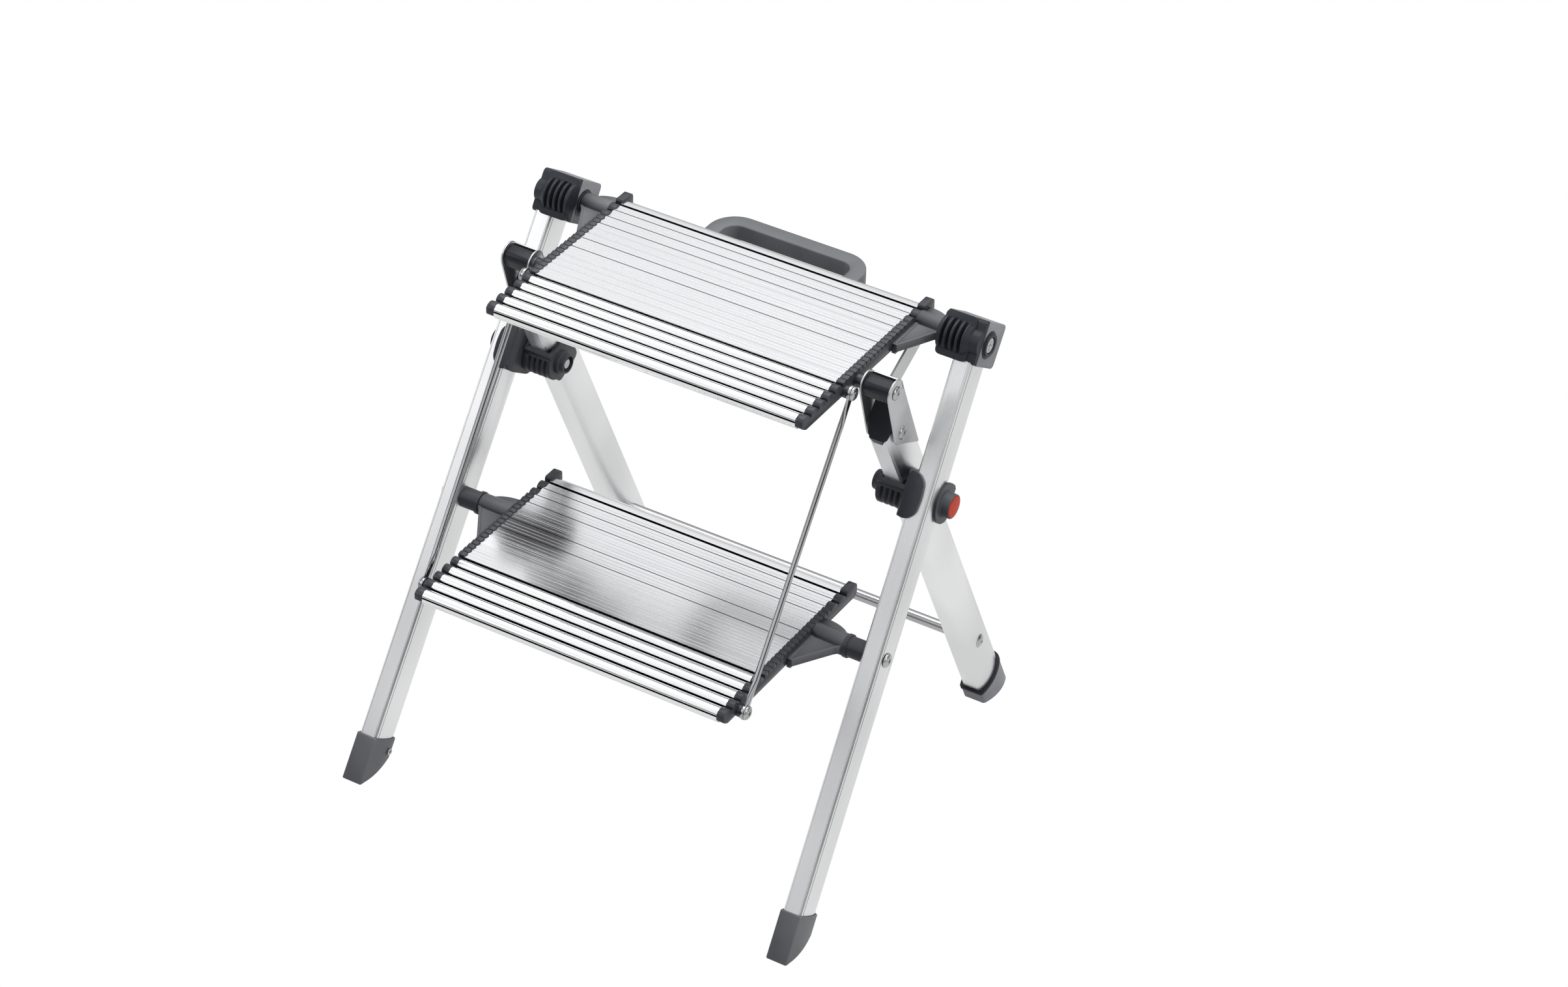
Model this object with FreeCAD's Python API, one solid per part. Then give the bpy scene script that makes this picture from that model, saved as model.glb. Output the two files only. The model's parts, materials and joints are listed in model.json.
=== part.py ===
import FreeCAD, Part
import math
import os

# Two-tread folding step stool, standing open. Millimetres, +Z up, -Y is the side that a person climbs.
# The origin is on the floor, under the middle of the open stool.

# Pivots, seen from the right-hand side. All of them turn about X.
TOP_HINGE_Y = 89.9
TOP_HINGE_Z = 430.8
LOWER_HINGE_Y = -61.9
LOWER_HINGE_Z = 210.5
CROSS_PIVOT_Y = 26.5
CROSS_PIVOT_Z = 312.8
LINK_DROP = 45.8
RAIL_PIVOT_DEPTH = 16.0
TREAD_PIVOT_AHEAD = 100.3
STRUT_ARM = 119.3

# Fits.
RUNNING_FIT = 0.05
SIDE_GAP = 0.35
CUT_OVERRUN = 5.0

# Front legs: a flat face between two small beads, swelling sides and a rounded back.
FRONT_SLOPE = 56.5
FRONT_SPLAY = 0.0235
FRONT_LINE_Y = -57.9
FRONT_LINE_Z = 237.4
FRONT_BESIDE_REAR = 28.75
FRONT_FACE_HALF = 6.9
FRONT_CORNER = 1.35
FRONT_SWELL_HALF = 9.4
FRONT_BACK_HALF = 6.6
FRONT_SWELL_DEPTH = 15.0
FRONT_BACK_DEPTH = 31.0
FRONT_DEPTH = 36.5
FRONT_TOP_ABOVE_HINGE = 15.0
FRONT_GROOVE_WIDTH = 0.7
FRONT_GROOVE_DEPTH = 0.6
FRONT_SIDE_GROOVE_DEPTH = 3.2
RAIL_WALL = 1.8

# Rear legs.
REAR_SLOPE = 115.85
REAR_SPLAY = 0.02
REAR_BESIDE_TREAD = 23.5
REAR_PIVOT_DEPTH = 5.2
REAR_FACE_HALF = 7.2
REAR_CORNER = 1.6
REAR_SWELL_HALF = 11.0
REAR_BACK_HALF = 7.0
REAR_SWELL_DEPTH = 20.0
REAR_BACK_DEPTH = 33.0
REAR_DEPTH = 39.0
REAR_FRONT_OVER_LINK = 5.0
REAR_BACK_OVER_LINK = 33.0

# Moulded clamps that hold the front legs to the top tread's hinge.
CLAMP_INNER_REACH = 24.25
CLAMP_OUTER_REACH = 11.55
CLAMP_HALF_HEIGHT = 18.8
CLAMP_PLATE = 3.0
CLAMP_DEPTH = 39.0
CLAMP_BULGE_RADIUS = 15.0
CLAMP_BULGE_PROUD = 11.5
CLAMP_SLOT_COUNT = 4
CLAMP_SLOT_WIDTH = 2.6
CLAMP_SLOT_DEPTH = 5.0
CLAMP_RIB_WIDTH = 4.6
CLAMP_RING_RADIUS = 10.0
CLAMP_RING_HEIGHT = 2.0
CLAMP_RING_BORE = 7.0
CLAMP_COLLAR_RADIUS = 9.0
CLAMP_COLLAR_LENGTH = 1.6
CLAMP_EDGE = 2.0

# Front feet, thin-walled boots.
BOOT_WALL = 2.1
BOOT_RIM = 41.0
BOOT_BAND = 0.7
BOOT_BAND_HEIGHT = 4.0
BOOT_SOLE = 5.0
BOOT_SCREW_RADIUS = 3.2
BOOT_SCREW_HEAD = 1.4
BOOT_SCREW_SOCKET = 1.4
BOOT_SCREW_SOCKET_DEPTH = 0.9
BOOT_SCREW_HEIGHT = 30.0
BOOT_SCREW_DEPTH = 23.9

# Crossing pivot: a saddle on the front leg, a knob outside it and a block on the rear leg.
SADDLE_HALF_HEIGHT = 20.0
SADDLE_FRONT_TAB = 2.6
SADDLE_TAB_REACH = 9.0
SADDLE_BACK_WALL = 3.2
SADDLE_FLANGE = 3.4
SADDLE_FLANGE_FRONT = 9.0
SADDLE_EDGE = 3.0
KNOB_RADIUS = 10.8
KNOB_TIP_RADIUS = 10.2
KNOB_TIP_REACH = 19.0
KNOB_HEIGHT = 7.5
KNOB_RECESS = 0.8
DISC_RADIUS = 9.3
DISC_PROUD = 0.3
PIN_RADIUS = 4.0
PIN_SUNK = 1.2
BLOCK_HALF_WIDTH = 14.0
BLOCK_HALF_HEIGHT = 18.0
BLOCK_FRONT_PLATE = 3.5
BLOCK_REACH = 27.0
BLOCK_MOUTH_HALF = 16.0
BLOCK_MOUTH_DEPTH = 14.0
BLOCK_BULGE_RADIUS = 14.0
BLOCK_BULGE_PROUD = 12.0
BLOCK_SLOT_COUNT = 4
BLOCK_SLOT_WIDTH = 2.4
BLOCK_SLOT_DEPTH = 5.0
BLOCK_RIB_WIDTH = 3.3
BLOCK_RING_RADIUS = 8.6
BLOCK_RING_LENGTH = 8.0
BLOCK_RING_BORE = 7.0
BLOCK_RING_RECESS = 3.0
BLOCK_EDGE = 1.6

# Rear crossbar, rear feet and the stoppers in the rear legs.
CROSSBAR_Y = 154.6
CROSSBAR_Z = 79.0
CROSSBAR_RADIUS = 5.0
CROSSBAR_WALL = 1.2
CROSSBAR_RIVET_RADIUS = 6.5
CROSSBAR_RIVET_HEIGHT = 2.6
CROSSBAR_RIVET_SHANK = 3.0
REAR_CAP_WALL = 1.8
REAR_CAP_FRONT_RISE = 18.0
REAR_CAP_BACK_RISE = 34.0
REAR_CAP_SOLE = 4.0
REAR_CAP_BAND = 0.6
REAR_CAP_BAND_HEIGHT = 3.0
PLUG_DOME = 1.6
PLUG_LIP_HALF = 8.0
PLUG_LIP_FOOT_HALF = 4.2
PLUG_LIP_DROP = 5.0
PLUG_LIP_CHAMFER = 8.0
PLUG_LIP_PROUD = 1.0

# Bent plate links between the rear legs and the top tread.
LINK_PLATE = 1.5
LINK_HALF_GAP = 12.1
LINK_END_RADIUS = 11.6
LINK_BELLY = 16.7
LINK_HEEL_DROP = 3.0
LINK_TAIL_BEHIND = 20.4
LINK_TAIL_DROP = 33.0
LINK_CORNER = 2.5
LINK_WEB_BELOW = 6.0
LINK_WEB_ABOVE = 4.0
LINK_WEB_OFFSET = 11.4
ROLLER_RADIUS = 9.2
ROLLER_FLAT_COUNT = 10
LINK_PIN_RADIUS = 3.4
LINK_RIVET_RADIUS = 5.9
LINK_RIVET_HEIGHT = 1.9
LINK_COLLAR_RADIUS = 6.0

# Treads: rounded bars along the edges and flat bars between them.
TREAD_HALF = 142.5
CAP_LENGTH = 6.5
TREAD_FRONT_AHEAD = 177.8
TREAD_REAR_BEHIND = 16.2
TREAD_CREST = 9.2
TREAD_OVERHANG = 6.8
TREAD_THICKNESS = 12.0
TREAD_SKIN = 2.4
TREAD_RIB = 2.2
TREAD_CELL_COUNT = 6
HUMP_PITCH = 13.6
HUMP_DROP = 3.4
GROOVE_WIDTH = 1.8
GROOVE_DEPTH = 6.2
FLAT_DROP = 1.3
FLAT_GROOVE = 2.9
FRONT_HUMPS = 5
TOP_REAR_BLOCK = 22.0
LOWER_FRONT_AHEAD = 135.0
LOWER_REAR_BEHIND = 59.0
LOWER_REAR_HUMPS = 3
LOWER_CREST = 9.5
CAP_GROW = 0.5
ROOT_DEPTH = 5.5

# Wing brackets and hinge shafts.
SLEEVE_RADIUS = 9.5
SHAFT_RADIUS = 4.4
FIN_FRONT_REACH = 46.0
FIN_REAR_REACH = 17.0
FIN_TIP_WIDTH = 6.0
FIN_TOP = 4.0
FIN_BOTTOM = -3.0
FIN_LIP = 3.0
FIN_LIP_DROP = 3.0
BRACKET_PAD = 3.0
RIVET_RECESS_RADIUS = 6.4
RIVET_RECESS_HEIGHT = 1.2
LOWER_RIVET_RADIUS = 6.2
LOWER_RIVET_HEIGHT = 2.6
RIVET_DIMPLE_RADIUS = 1.3
RIVET_DIMPLE_DEPTH = 0.8
BUSH_RADIUS = 9.0
BUSH_LIP_RADIUS = 10.2
BUSH_LIP_LENGTH = 3.0
BUSH_LENGTH = 18.2

# Side stays: flat strips that lean forward from under the top brackets.
STAY_PLATE = 1.8
STAY_HALF = 9.0
STAY_SLOPE = 29.0
STAY_FOOT_AHEAD = 50.0
STAY_FOOT_BELOW = 39.0
STAY_HEAD_AHEAD = 3.0

# Struts.
STRUT_BESIDE_TREAD = 6.0
STRUT_RADIUS = 3.3
STRUT_EYE_RADIUS = 6.6
STRUT_EYE_THICK = 3.0
STRUT_EYE_NECK = 15.0
STRUT_FLAT_TAPER = 12.0
STRUT_PIN_RADIUS = 2.9
STRUT_COLLAR_RADIUS = 5.6
STRUT_HEAD_RADIUS = 6.0
STRUT_HEAD_HEIGHT = 2.4

# Carrying handle behind the top tread.
HANDLE_HALF = 74.0
HANDLE_BEHIND = 45.0
HANDLE_BAR = 15.0
HANDLE_SIDE = 14.0
HANDLE_OUTER_CORNER = 26.0
HANDLE_INNER_CORNER = 12.0
HANDLE_UNDER_TREAD = 24.0
HANDLE_THICK = 15.0
HANDLE_HOLLOW_WIDTH = 9.0
HANDLE_HOLLOW_DEPTH = 9.0

# An edge counts as straight when its ends lie this share of its length from its arc length, or less.
STRAIGHT_SHARE = 0.001

ORIGIN = FreeCAD.Vector(0, 0, 0)
ALONG_X = FreeCAD.Vector(1, 0, 0)


def vector(x, y, z):
    return FreeCAD.Vector(x, y, z)


def box(x0, x1, y0, y1, z0, z1):
    return Part.makeBox(x1 - x0, y1 - y0, z1 - z0, vector(x0, y0, z0))


def pin_along_x(x0, x1, y, z, radius):
    return Part.makeCylinder(radius, x1 - x0, vector(x0, y, z), ALONG_X)


def dome_along_x(x, y, z, radius, height):
    """A shallow rivet head whose flat side lies on x and which rises towards +X."""
    sphere_radius = (radius * radius + height * height) / (2 * height)
    centre = vector(x + height - sphere_radius, y, z)
    ball = Part.makeSphere(sphere_radius, centre)
    keep = box(x, x + 2 * height, y - 2 * radius, y + 2 * radius, z - 2 * radius, z + 2 * radius)
    dimple = pin_along_x(x + height - RIVET_DIMPLE_DEPTH, x + height + CUT_OVERRUN, y, z, RIVET_DIMPLE_RADIUS)
    return ball.common(keep).cut(dimple)


def face_from_points(points):
    return Part.Face(Part.makePolygon(points + [points[0]]))


def plate_along_x(outline, x0, x1):
    """A plate whose outline is given as (y, z) pairs."""
    face = face_from_points([vector(x0, y, z) for y, z in outline])
    return face.extrude(vector(x1 - x0, 0, 0))


def plate_upwards(outline, z0, z1):
    """A plate whose outline is given as (x, y) pairs."""
    face = face_from_points([vector(x, y, z0) for x, y in outline])
    return face.extrude(vector(0, 0, z1 - z0))


def round_edges(shape, chosen, radius):
    """Rounds the edges that the test picks; the piece stays sharp where rounding is impossible."""
    edges = [edge for edge in shape.Edges if chosen(edge)]
    return shape.makeFillet(radius, edges) if edges else shape


def edge_runs_along(edge, direction):
    if len(edge.Vertexes) < 2:
        return False
    run = edge.Vertexes[1].Point - edge.Vertexes[0].Point
    straight = abs(run.Length - edge.Length) < edge.Length * STRAIGHT_SHARE
    return straight and abs(abs(run.normalize().dot(direction)) - 1) < STRAIGHT_SHARE


def mirrored(shape):
    return shape.mirror(ORIGIN, ALONG_X)


def leg_placement(x, y, z, slope, splay):
    """Local X is across the leg, local Y is depth behind its front face, local Z runs up the leg."""
    angle = math.radians(slope)
    depth = vector(0, math.sin(angle), -math.cos(angle))
    up = vector(-splay * math.sin(angle), math.cos(angle), math.sin(angle)).normalize()
    across = depth.cross(up).normalize()
    matrix = FreeCAD.Matrix(
        across.x, depth.x, up.x, x,
        across.y, depth.y, up.y, y,
        across.z, depth.z, up.z, z,
        0, 0, 0, 1)
    return FreeCAD.Placement(matrix)


def placed(shape, placement):
    copy = shape.copy()
    copy.Placement = placement.multiply(copy.Placement)
    return copy


def leg_section(inset, face_half, corner, swell_half, swell_depth, back_half, back_depth, full_depth):
    """The closed outline of a leg tube, drawn inset by the wall where the bore is wanted."""
    corner_half = face_half + corner - inset
    face_edge = face_half - inset
    top = vector(-face_edge, inset, 0)
    top_right = vector(face_edge, inset, 0)
    right_start = vector(corner_half, corner + inset, 0)
    right_mid = vector(swell_half - inset, swell_depth, 0)
    right_end = vector(back_half - inset, back_depth - inset, 0)
    back = vector(0, full_depth - inset, 0)
    left_end = vector(-back_half + inset, back_depth - inset, 0)
    left_mid = vector(-swell_half + inset, swell_depth, 0)
    left_start = vector(-corner_half, corner + inset, 0)
    edges = [
        Part.makeLine(top, top_right),
        Part.makeLine(top_right, right_start),
        Part.Arc(right_start, right_mid, right_end).toShape(),
        Part.Arc(right_end, back, left_end).toShape(),
        Part.Arc(left_end, left_mid, left_start).toShape(),
        Part.makeLine(left_start, top),
    ]
    return Part.Face(Part.Wire(edges))


def front_section(inset):
    return leg_section(inset, FRONT_FACE_HALF, FRONT_CORNER, FRONT_SWELL_HALF, FRONT_SWELL_DEPTH,
                       FRONT_BACK_HALF, FRONT_BACK_DEPTH, FRONT_DEPTH)


def rear_section(inset):
    return leg_section(inset, REAR_FACE_HALF, REAR_CORNER, REAR_SWELL_HALF, REAR_SWELL_DEPTH,
                       REAR_BACK_HALF, REAR_BACK_DEPTH, REAR_DEPTH)


def prism_up(face, low, high):
    lowered = face.copy()
    lowered.translate(vector(0, 0, low))
    return lowered.extrude(vector(0, 0, high - low))


# Where the legs and the pivots stand.
cap_outer_x = TREAD_HALF + CAP_LENGTH
root_x = cap_outer_x - ROOT_DEPTH
strut_middle_x = cap_outer_x + STRUT_BESIDE_TREAD
rear_centre_x = cap_outer_x + REAR_BESIDE_TREAD
front_centre_x = rear_centre_x + FRONT_BESIDE_REAR
front_angle = math.radians(FRONT_SLOPE)
rear_angle = math.radians(REAR_SLOPE)


def front_height(y, z):
    """Distance up the front leg from its reference point."""
    return (y - FRONT_LINE_Y) * math.cos(front_angle) + (z - FRONT_LINE_Z) * math.sin(front_angle)


def front_leg_x(z):
    return front_centre_x + FRONT_SPLAY * (TOP_HINGE_Z - z)


def rear_leg_x(z):
    return rear_centre_x + REAR_SPLAY * (CROSS_PIVOT_Z - z)


rear_line_y = CROSS_PIVOT_Y - REAR_PIVOT_DEPTH * math.sin(rear_angle)
rear_line_z = CROSS_PIVOT_Z + REAR_PIVOT_DEPTH * math.cos(rear_angle)
front_leg = leg_placement(front_leg_x(FRONT_LINE_Z), FRONT_LINE_Y, FRONT_LINE_Z, FRONT_SLOPE, FRONT_SPLAY)
rear_leg = leg_placement(rear_leg_x(rear_line_z), rear_line_y, rear_line_z, REAR_SLOPE, REAR_SPLAY)
hinge_height = front_height(TOP_HINGE_Y, TOP_HINGE_Z)
lower_height = front_height(LOWER_HINGE_Y, LOWER_HINGE_Z)
cross_height = front_height(CROSS_PIVOT_Y, CROSS_PIVOT_Z)
front_floor = -FRONT_LINE_Z / math.sin(front_angle)
rear_floor = -rear_line_z / math.sin(rear_angle)
big_half = front_centre_x + HANDLE_HALF
strut_length = math.hypot(TOP_HINGE_Y - LOWER_HINGE_Y, TOP_HINGE_Z - LOWER_HINGE_Z)
upper_strut_y = TOP_HINGE_Y - STRUT_ARM
lower_strut_y = LOWER_HINGE_Y - STRUT_ARM
clamp_inner_x = front_centre_x - CLAMP_INNER_REACH
clamp_outer_x = front_centre_x + CLAMP_OUTER_REACH
collar_x = clamp_inner_x - CLAMP_COLLAR_LENGTH
block_inner_x = rear_centre_x - BLOCK_HALF_WIDTH
ring_x = block_inner_x - BLOCK_RING_LENGTH
saddle_inner_x = rear_centre_x + BLOCK_HALF_WIDTH + SIDE_GAP
knob_tip_x = front_leg_x(CROSS_PIVOT_Z) + KNOB_TIP_REACH
lower_wall_x = front_leg_x(LOWER_HINGE_Z) - FRONT_SWELL_HALF
bush_x = lower_wall_x - BUSH_LENGTH
link_to_tread_y = TOP_HINGE_Y - TREAD_PIVOT_AHEAD
link_to_tread_z = TOP_HINGE_Z
link_to_rail_z = TOP_HINGE_Z - LINK_DROP
rail_pivot_up = (link_to_rail_z - rear_line_z + RAIL_PIVOT_DEPTH * math.cos(rear_angle)) / math.sin(rear_angle)
link_to_rail_y = rear_line_y + rail_pivot_up * math.cos(rear_angle) + RAIL_PIVOT_DEPTH * math.sin(rear_angle)
rear_top_front = rail_pivot_up + REAR_FRONT_OVER_LINK
rear_top_back = rail_pivot_up + REAR_BACK_OVER_LINK


def above(z):
    return box(-big_half, big_half, -big_half, big_half, z, z + 2 * strut_length)


def front_envelope(low, high):
    """The filled front leg between two distances from the reference point, in the world."""
    return placed(prism_up(front_section(0), low, high), front_leg)


def rear_envelope(low, high):
    return placed(prism_up(rear_section(0), low, high), rear_leg)


def make_front_leg():
    low = front_floor - FRONT_DEPTH
    high = hinge_height + FRONT_TOP_ABOVE_HINGE
    outer = prism_up(front_section(0), low, high)
    bore = prism_up(front_section(RAIL_WALL), low - CUT_OVERRUN, high + CUT_OVERRUN)
    tube = outer.cut(bore)
    for side in (-1, 1):
        edge = side * (FRONT_FACE_HALF - FRONT_GROOVE_WIDTH)
        face_groove = box(edge - FRONT_GROOVE_WIDTH / 2, edge + FRONT_GROOVE_WIDTH / 2,
                          -CUT_OVERRUN, FRONT_GROOVE_DEPTH, low, high)
        wall_x = side * FRONT_SWELL_HALF
        side_groove = box(wall_x - FRONT_GROOVE_WIDTH * 2, wall_x + FRONT_GROOVE_WIDTH * 2,
                          FRONT_SIDE_GROOVE_DEPTH, FRONT_SIDE_GROOVE_DEPTH + FRONT_GROOVE_WIDTH, low, high)
        tube = tube.cut(face_groove).cut(side_groove)
    leg = placed(tube, front_leg).common(above(BOOT_SOLE))
    for y, z, radius in ((TOP_HINGE_Y, TOP_HINGE_Z, SHAFT_RADIUS), (LOWER_HINGE_Y, LOWER_HINGE_Z, SHAFT_RADIUS),
                         (CROSS_PIVOT_Y, CROSS_PIVOT_Z, PIN_RADIUS)):
        leg = leg.cut(pin_along_x(0, big_half, y, z, radius))
    return leg


def rear_top_cut(raise_by):
    """Everything above the slanted upper end of the rear leg."""
    points = [vector(-REAR_DEPTH, -REAR_DEPTH, rear_top_front - (rear_top_back - rear_top_front) + raise_by),
              vector(-REAR_DEPTH, 2 * REAR_DEPTH, 2 * rear_top_back - rear_top_front + raise_by),
              vector(-REAR_DEPTH, 2 * REAR_DEPTH, 2 * strut_length),
              vector(-REAR_DEPTH, -REAR_DEPTH, 2 * strut_length)]
    return face_from_points(points).extrude(vector(2 * REAR_DEPTH, 0, 0))


def make_rear_leg():
    low = rear_floor - REAR_DEPTH
    high = rear_top_back + REAR_DEPTH
    outer = prism_up(rear_section(0), low, high)
    bore = prism_up(rear_section(RAIL_WALL), low - CUT_OVERRUN, high + CUT_OVERRUN)
    leg = placed(outer.cut(bore).cut(rear_top_cut(0)), rear_leg).common(above(REAR_CAP_SOLE))
    leg = leg.cut(pin_along_x(0, big_half, CROSS_PIVOT_Y, CROSS_PIVOT_Z, PIN_RADIUS + RUNNING_FIT))
    leg = leg.cut(pin_along_x(0, big_half, CROSSBAR_Y, CROSSBAR_Z, CROSSBAR_RIVET_SHANK))
    inner_side = pin_along_x(0, rear_leg_x(CROSSBAR_Z), CROSSBAR_Y, CROSSBAR_Z, CROSSBAR_RADIUS)
    return leg.cut(inner_side)


def make_rail_plug():
    """The moulded stopper that closes the slanted upper end of the rear leg."""
    skirt = prism_up(rear_section(RAIL_WALL), rear_top_front - REAR_DEPTH / 2, rear_top_back + REAR_DEPTH)
    head = prism_up(rear_section(0), rear_top_front - REAR_DEPTH, rear_top_back + REAR_DEPTH)
    head = head.common(rear_top_cut(0)).cut(rear_top_cut(PLUG_DOME))
    tip = rear_top_front - PLUG_LIP_DROP
    top = rear_top_front + PLUG_LIP_CHAMFER
    lip_points = [vector(-PLUG_LIP_FOOT_HALF, 0, tip), vector(PLUG_LIP_FOOT_HALF, 0, tip),
                  vector(PLUG_LIP_HALF, 0, tip + PLUG_LIP_CHAMFER), vector(PLUG_LIP_HALF, 0, top),
                  vector(-PLUG_LIP_HALF, 0, top), vector(-PLUG_LIP_HALF, 0, tip + PLUG_LIP_CHAMFER)]
    lip = face_from_points(lip_points).extrude(vector(0, -PLUG_LIP_PROUD, 0)).cut(rear_top_cut(PLUG_DOME))
    return placed(skirt.cut(rear_top_cut(0)).fuse(head).fuse(lip), rear_leg)


def ribbed_bulge(y, z, slope, x0, x1, radius, axis_depth, depth_here, slot_count, slot_width, slot_depth,
                 rib_width):
    """A half round lying across the leg, slotted so that ribs stand between the slots."""
    angle = math.radians(slope)
    shift = axis_depth - depth_here
    axis_y = y + shift * math.sin(angle)
    axis_z = z - shift * math.cos(angle)
    bulge = pin_along_x(x0, x1, axis_y, axis_z, radius)
    core = pin_along_x(x0, x1, axis_y, axis_z, radius - slot_depth)
    total = slot_count * slot_width + (slot_count + 1) * rib_width
    start = (x0 + x1 - total) / 2
    for index in range(slot_count):
        slot_x = start + rib_width + index * (rib_width + slot_width)
        washer = pin_along_x(slot_x, slot_x + slot_width, axis_y, axis_z, radius + CUT_OVERRUN)
        bulge = bulge.cut(washer.cut(core))
    return bulge


def depth_behind_front(y, z):
    return (y - FRONT_LINE_Y) * math.sin(front_angle) - (z - FRONT_LINE_Z) * math.cos(front_angle)


def make_clamp():
    centre_x = front_leg_x(TOP_HINGE_Z)
    low = hinge_height - CLAMP_HALF_HEIGHT
    high = hinge_height + CLAMP_HALF_HEIGHT
    inner = clamp_inner_x - centre_x
    outer = clamp_outer_x - centre_x
    body = box(inner, outer, -CLAMP_PLATE, CLAMP_DEPTH, low, high)
    body = round_edges(body, lambda edge: edge_runs_along(edge, vector(0, 0, 1)), CLAMP_EDGE)
    turned = leg_placement(centre_x, FRONT_LINE_Y, FRONT_LINE_Z, FRONT_SLOPE, 0)
    body = placed(body, turned)
    depth_here = depth_behind_front(TOP_HINGE_Y, TOP_HINGE_Z)
    bulge = ribbed_bulge(TOP_HINGE_Y, TOP_HINGE_Z, FRONT_SLOPE, clamp_inner_x, clamp_outer_x, CLAMP_BULGE_RADIUS,
                         CLAMP_BULGE_RADIUS - CLAMP_BULGE_PROUD, depth_here, CLAMP_SLOT_COUNT, CLAMP_SLOT_WIDTH,
                         CLAMP_SLOT_DEPTH, CLAMP_RIB_WIDTH)
    clamp = body.fuse(bulge).cut(front_envelope(low - CUT_OVERRUN * 2, hinge_height + FRONT_TOP_ABOVE_HINGE))
    ring = pin_along_x(clamp_outer_x, clamp_outer_x + CLAMP_RING_HEIGHT, TOP_HINGE_Y, TOP_HINGE_Z,
                       CLAMP_RING_RADIUS)
    collar = pin_along_x(collar_x, clamp_inner_x, TOP_HINGE_Y, TOP_HINGE_Z, CLAMP_COLLAR_RADIUS)
    clamp = clamp.fuse(ring).fuse(collar)
    clamp = clamp.cut(pin_along_x(0, big_half, TOP_HINGE_Y, TOP_HINGE_Z, SHAFT_RADIUS))
    return clamp.cut(pin_along_x(clamp_outer_x, big_half, TOP_HINGE_Y, TOP_HINGE_Z, CLAMP_RING_BORE))


def grown_section(section_values, grow):
    face, corner, swell, swell_depth, back, back_depth, depth = section_values
    section = leg_section(-grow, face, corner, swell, swell_depth, back, back_depth, depth)
    return section


def make_front_foot():
    section = grown_section((FRONT_FACE_HALF, FRONT_CORNER, FRONT_SWELL_HALF, FRONT_SWELL_DEPTH,
                             FRONT_BACK_HALF, FRONT_BACK_DEPTH, FRONT_DEPTH), BOOT_WALL)
    band = grown_section((FRONT_FACE_HALF, FRONT_CORNER, FRONT_SWELL_HALF, FRONT_SWELL_DEPTH,
                          FRONT_BACK_HALF, FRONT_BACK_DEPTH, FRONT_DEPTH), BOOT_WALL + BOOT_BAND)
    low = front_floor - 2 * FRONT_DEPTH
    rim = front_floor + BOOT_RIM
    boot = prism_up(section, low, rim).fuse(prism_up(band, rim - BOOT_BAND_HEIGHT, rim))
    boot = placed(boot, front_leg).common(above(0))
    return boot.cut(front_envelope(low - CUT_OVERRUN, rim + CUT_OVERRUN).common(above(BOOT_SOLE)))


def make_foot_screw():
    height = front_floor + BOOT_SCREW_HEIGHT
    y = FRONT_LINE_Y + height * math.cos(front_angle) + BOOT_SCREW_DEPTH * math.sin(front_angle)
    z = FRONT_LINE_Z + height * math.sin(front_angle) - BOOT_SCREW_DEPTH * math.cos(front_angle)
    wall_x = front_leg_x(z) - FRONT_SWELL_HALF - BOOT_WALL
    head = pin_along_x(wall_x - BOOT_SCREW_HEAD, wall_x + BOOT_WALL, y, z, BOOT_SCREW_RADIUS)
    socket = pin_along_x(wall_x - BOOT_SCREW_HEAD - CUT_OVERRUN, wall_x - BOOT_SCREW_HEAD + BOOT_SCREW_SOCKET_DEPTH,
                         y, z, BOOT_SCREW_SOCKET)
    return head.cut(socket)


def make_saddle():
    """Wraps the inner side and the back of the front leg, with a tab in front and a flange outside."""
    centre_x = front_leg_x(CROSS_PIVOT_Z)
    low = cross_height - SADDLE_HALF_HEIGHT
    high = cross_height + SADDLE_HALF_HEIGHT
    inner = saddle_inner_x - centre_x
    outer = FRONT_SWELL_HALF + SADDLE_FLANGE
    back = FRONT_DEPTH + SADDLE_BACK_WALL
    wall = box(inner - SADDLE_EDGE, 0, -SADDLE_FRONT_TAB, back, low, high)
    wall = round_edges(wall, lambda edge: edge_runs_along(edge, ALONG_X), SADDLE_EDGE)
    wrap = box(0, outer, SADDLE_FLANGE_FRONT, back, low, high)
    wrap = round_edges(wrap, lambda edge: edge_runs_along(edge, ALONG_X), SADDLE_EDGE)
    tab_middle = (low + high) / 2
    tab = Part.makeCylinder(SADDLE_HALF_HEIGHT, SADDLE_FRONT_TAB, vector(0, -SADDLE_FRONT_TAB, tab_middle),
                            vector(0, 1, 0))
    tab = tab.common(box(0, SADDLE_TAB_REACH, -SADDLE_FRONT_TAB, 0, low, high))
    solid = placed(wall.fuse(wrap).fuse(tab), front_leg)
    solid = solid.common(box(saddle_inner_x, big_half, -big_half, big_half, 0, 2 * CROSS_PIVOT_Z))
    solid = solid.cut(front_envelope(low - CUT_OVERRUN, high + CUT_OVERRUN))
    return solid.cut(pin_along_x(0, big_half, CROSS_PIVOT_Y, CROSS_PIVOT_Z, PIN_RADIUS))


def make_knob():
    """The round knob outside the saddle, recessed for its disc."""
    base = vector(knob_tip_x - KNOB_HEIGHT, CROSS_PIVOT_Y, CROSS_PIVOT_Z)
    cone = Part.makeCone(KNOB_RADIUS, KNOB_TIP_RADIUS, KNOB_HEIGHT, base, ALONG_X)
    recess = pin_along_x(knob_tip_x - KNOB_RECESS, knob_tip_x + CUT_OVERRUN, CROSS_PIVOT_Y, CROSS_PIVOT_Z,
                         DISC_RADIUS)
    return cone.cut(make_saddle()).cut(recess).cut(make_pivot_pin())


def make_disc():
    return pin_along_x(knob_tip_x - KNOB_RECESS, knob_tip_x + DISC_PROUD, CROSS_PIVOT_Y, CROSS_PIVOT_Z, DISC_RADIUS)


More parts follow.
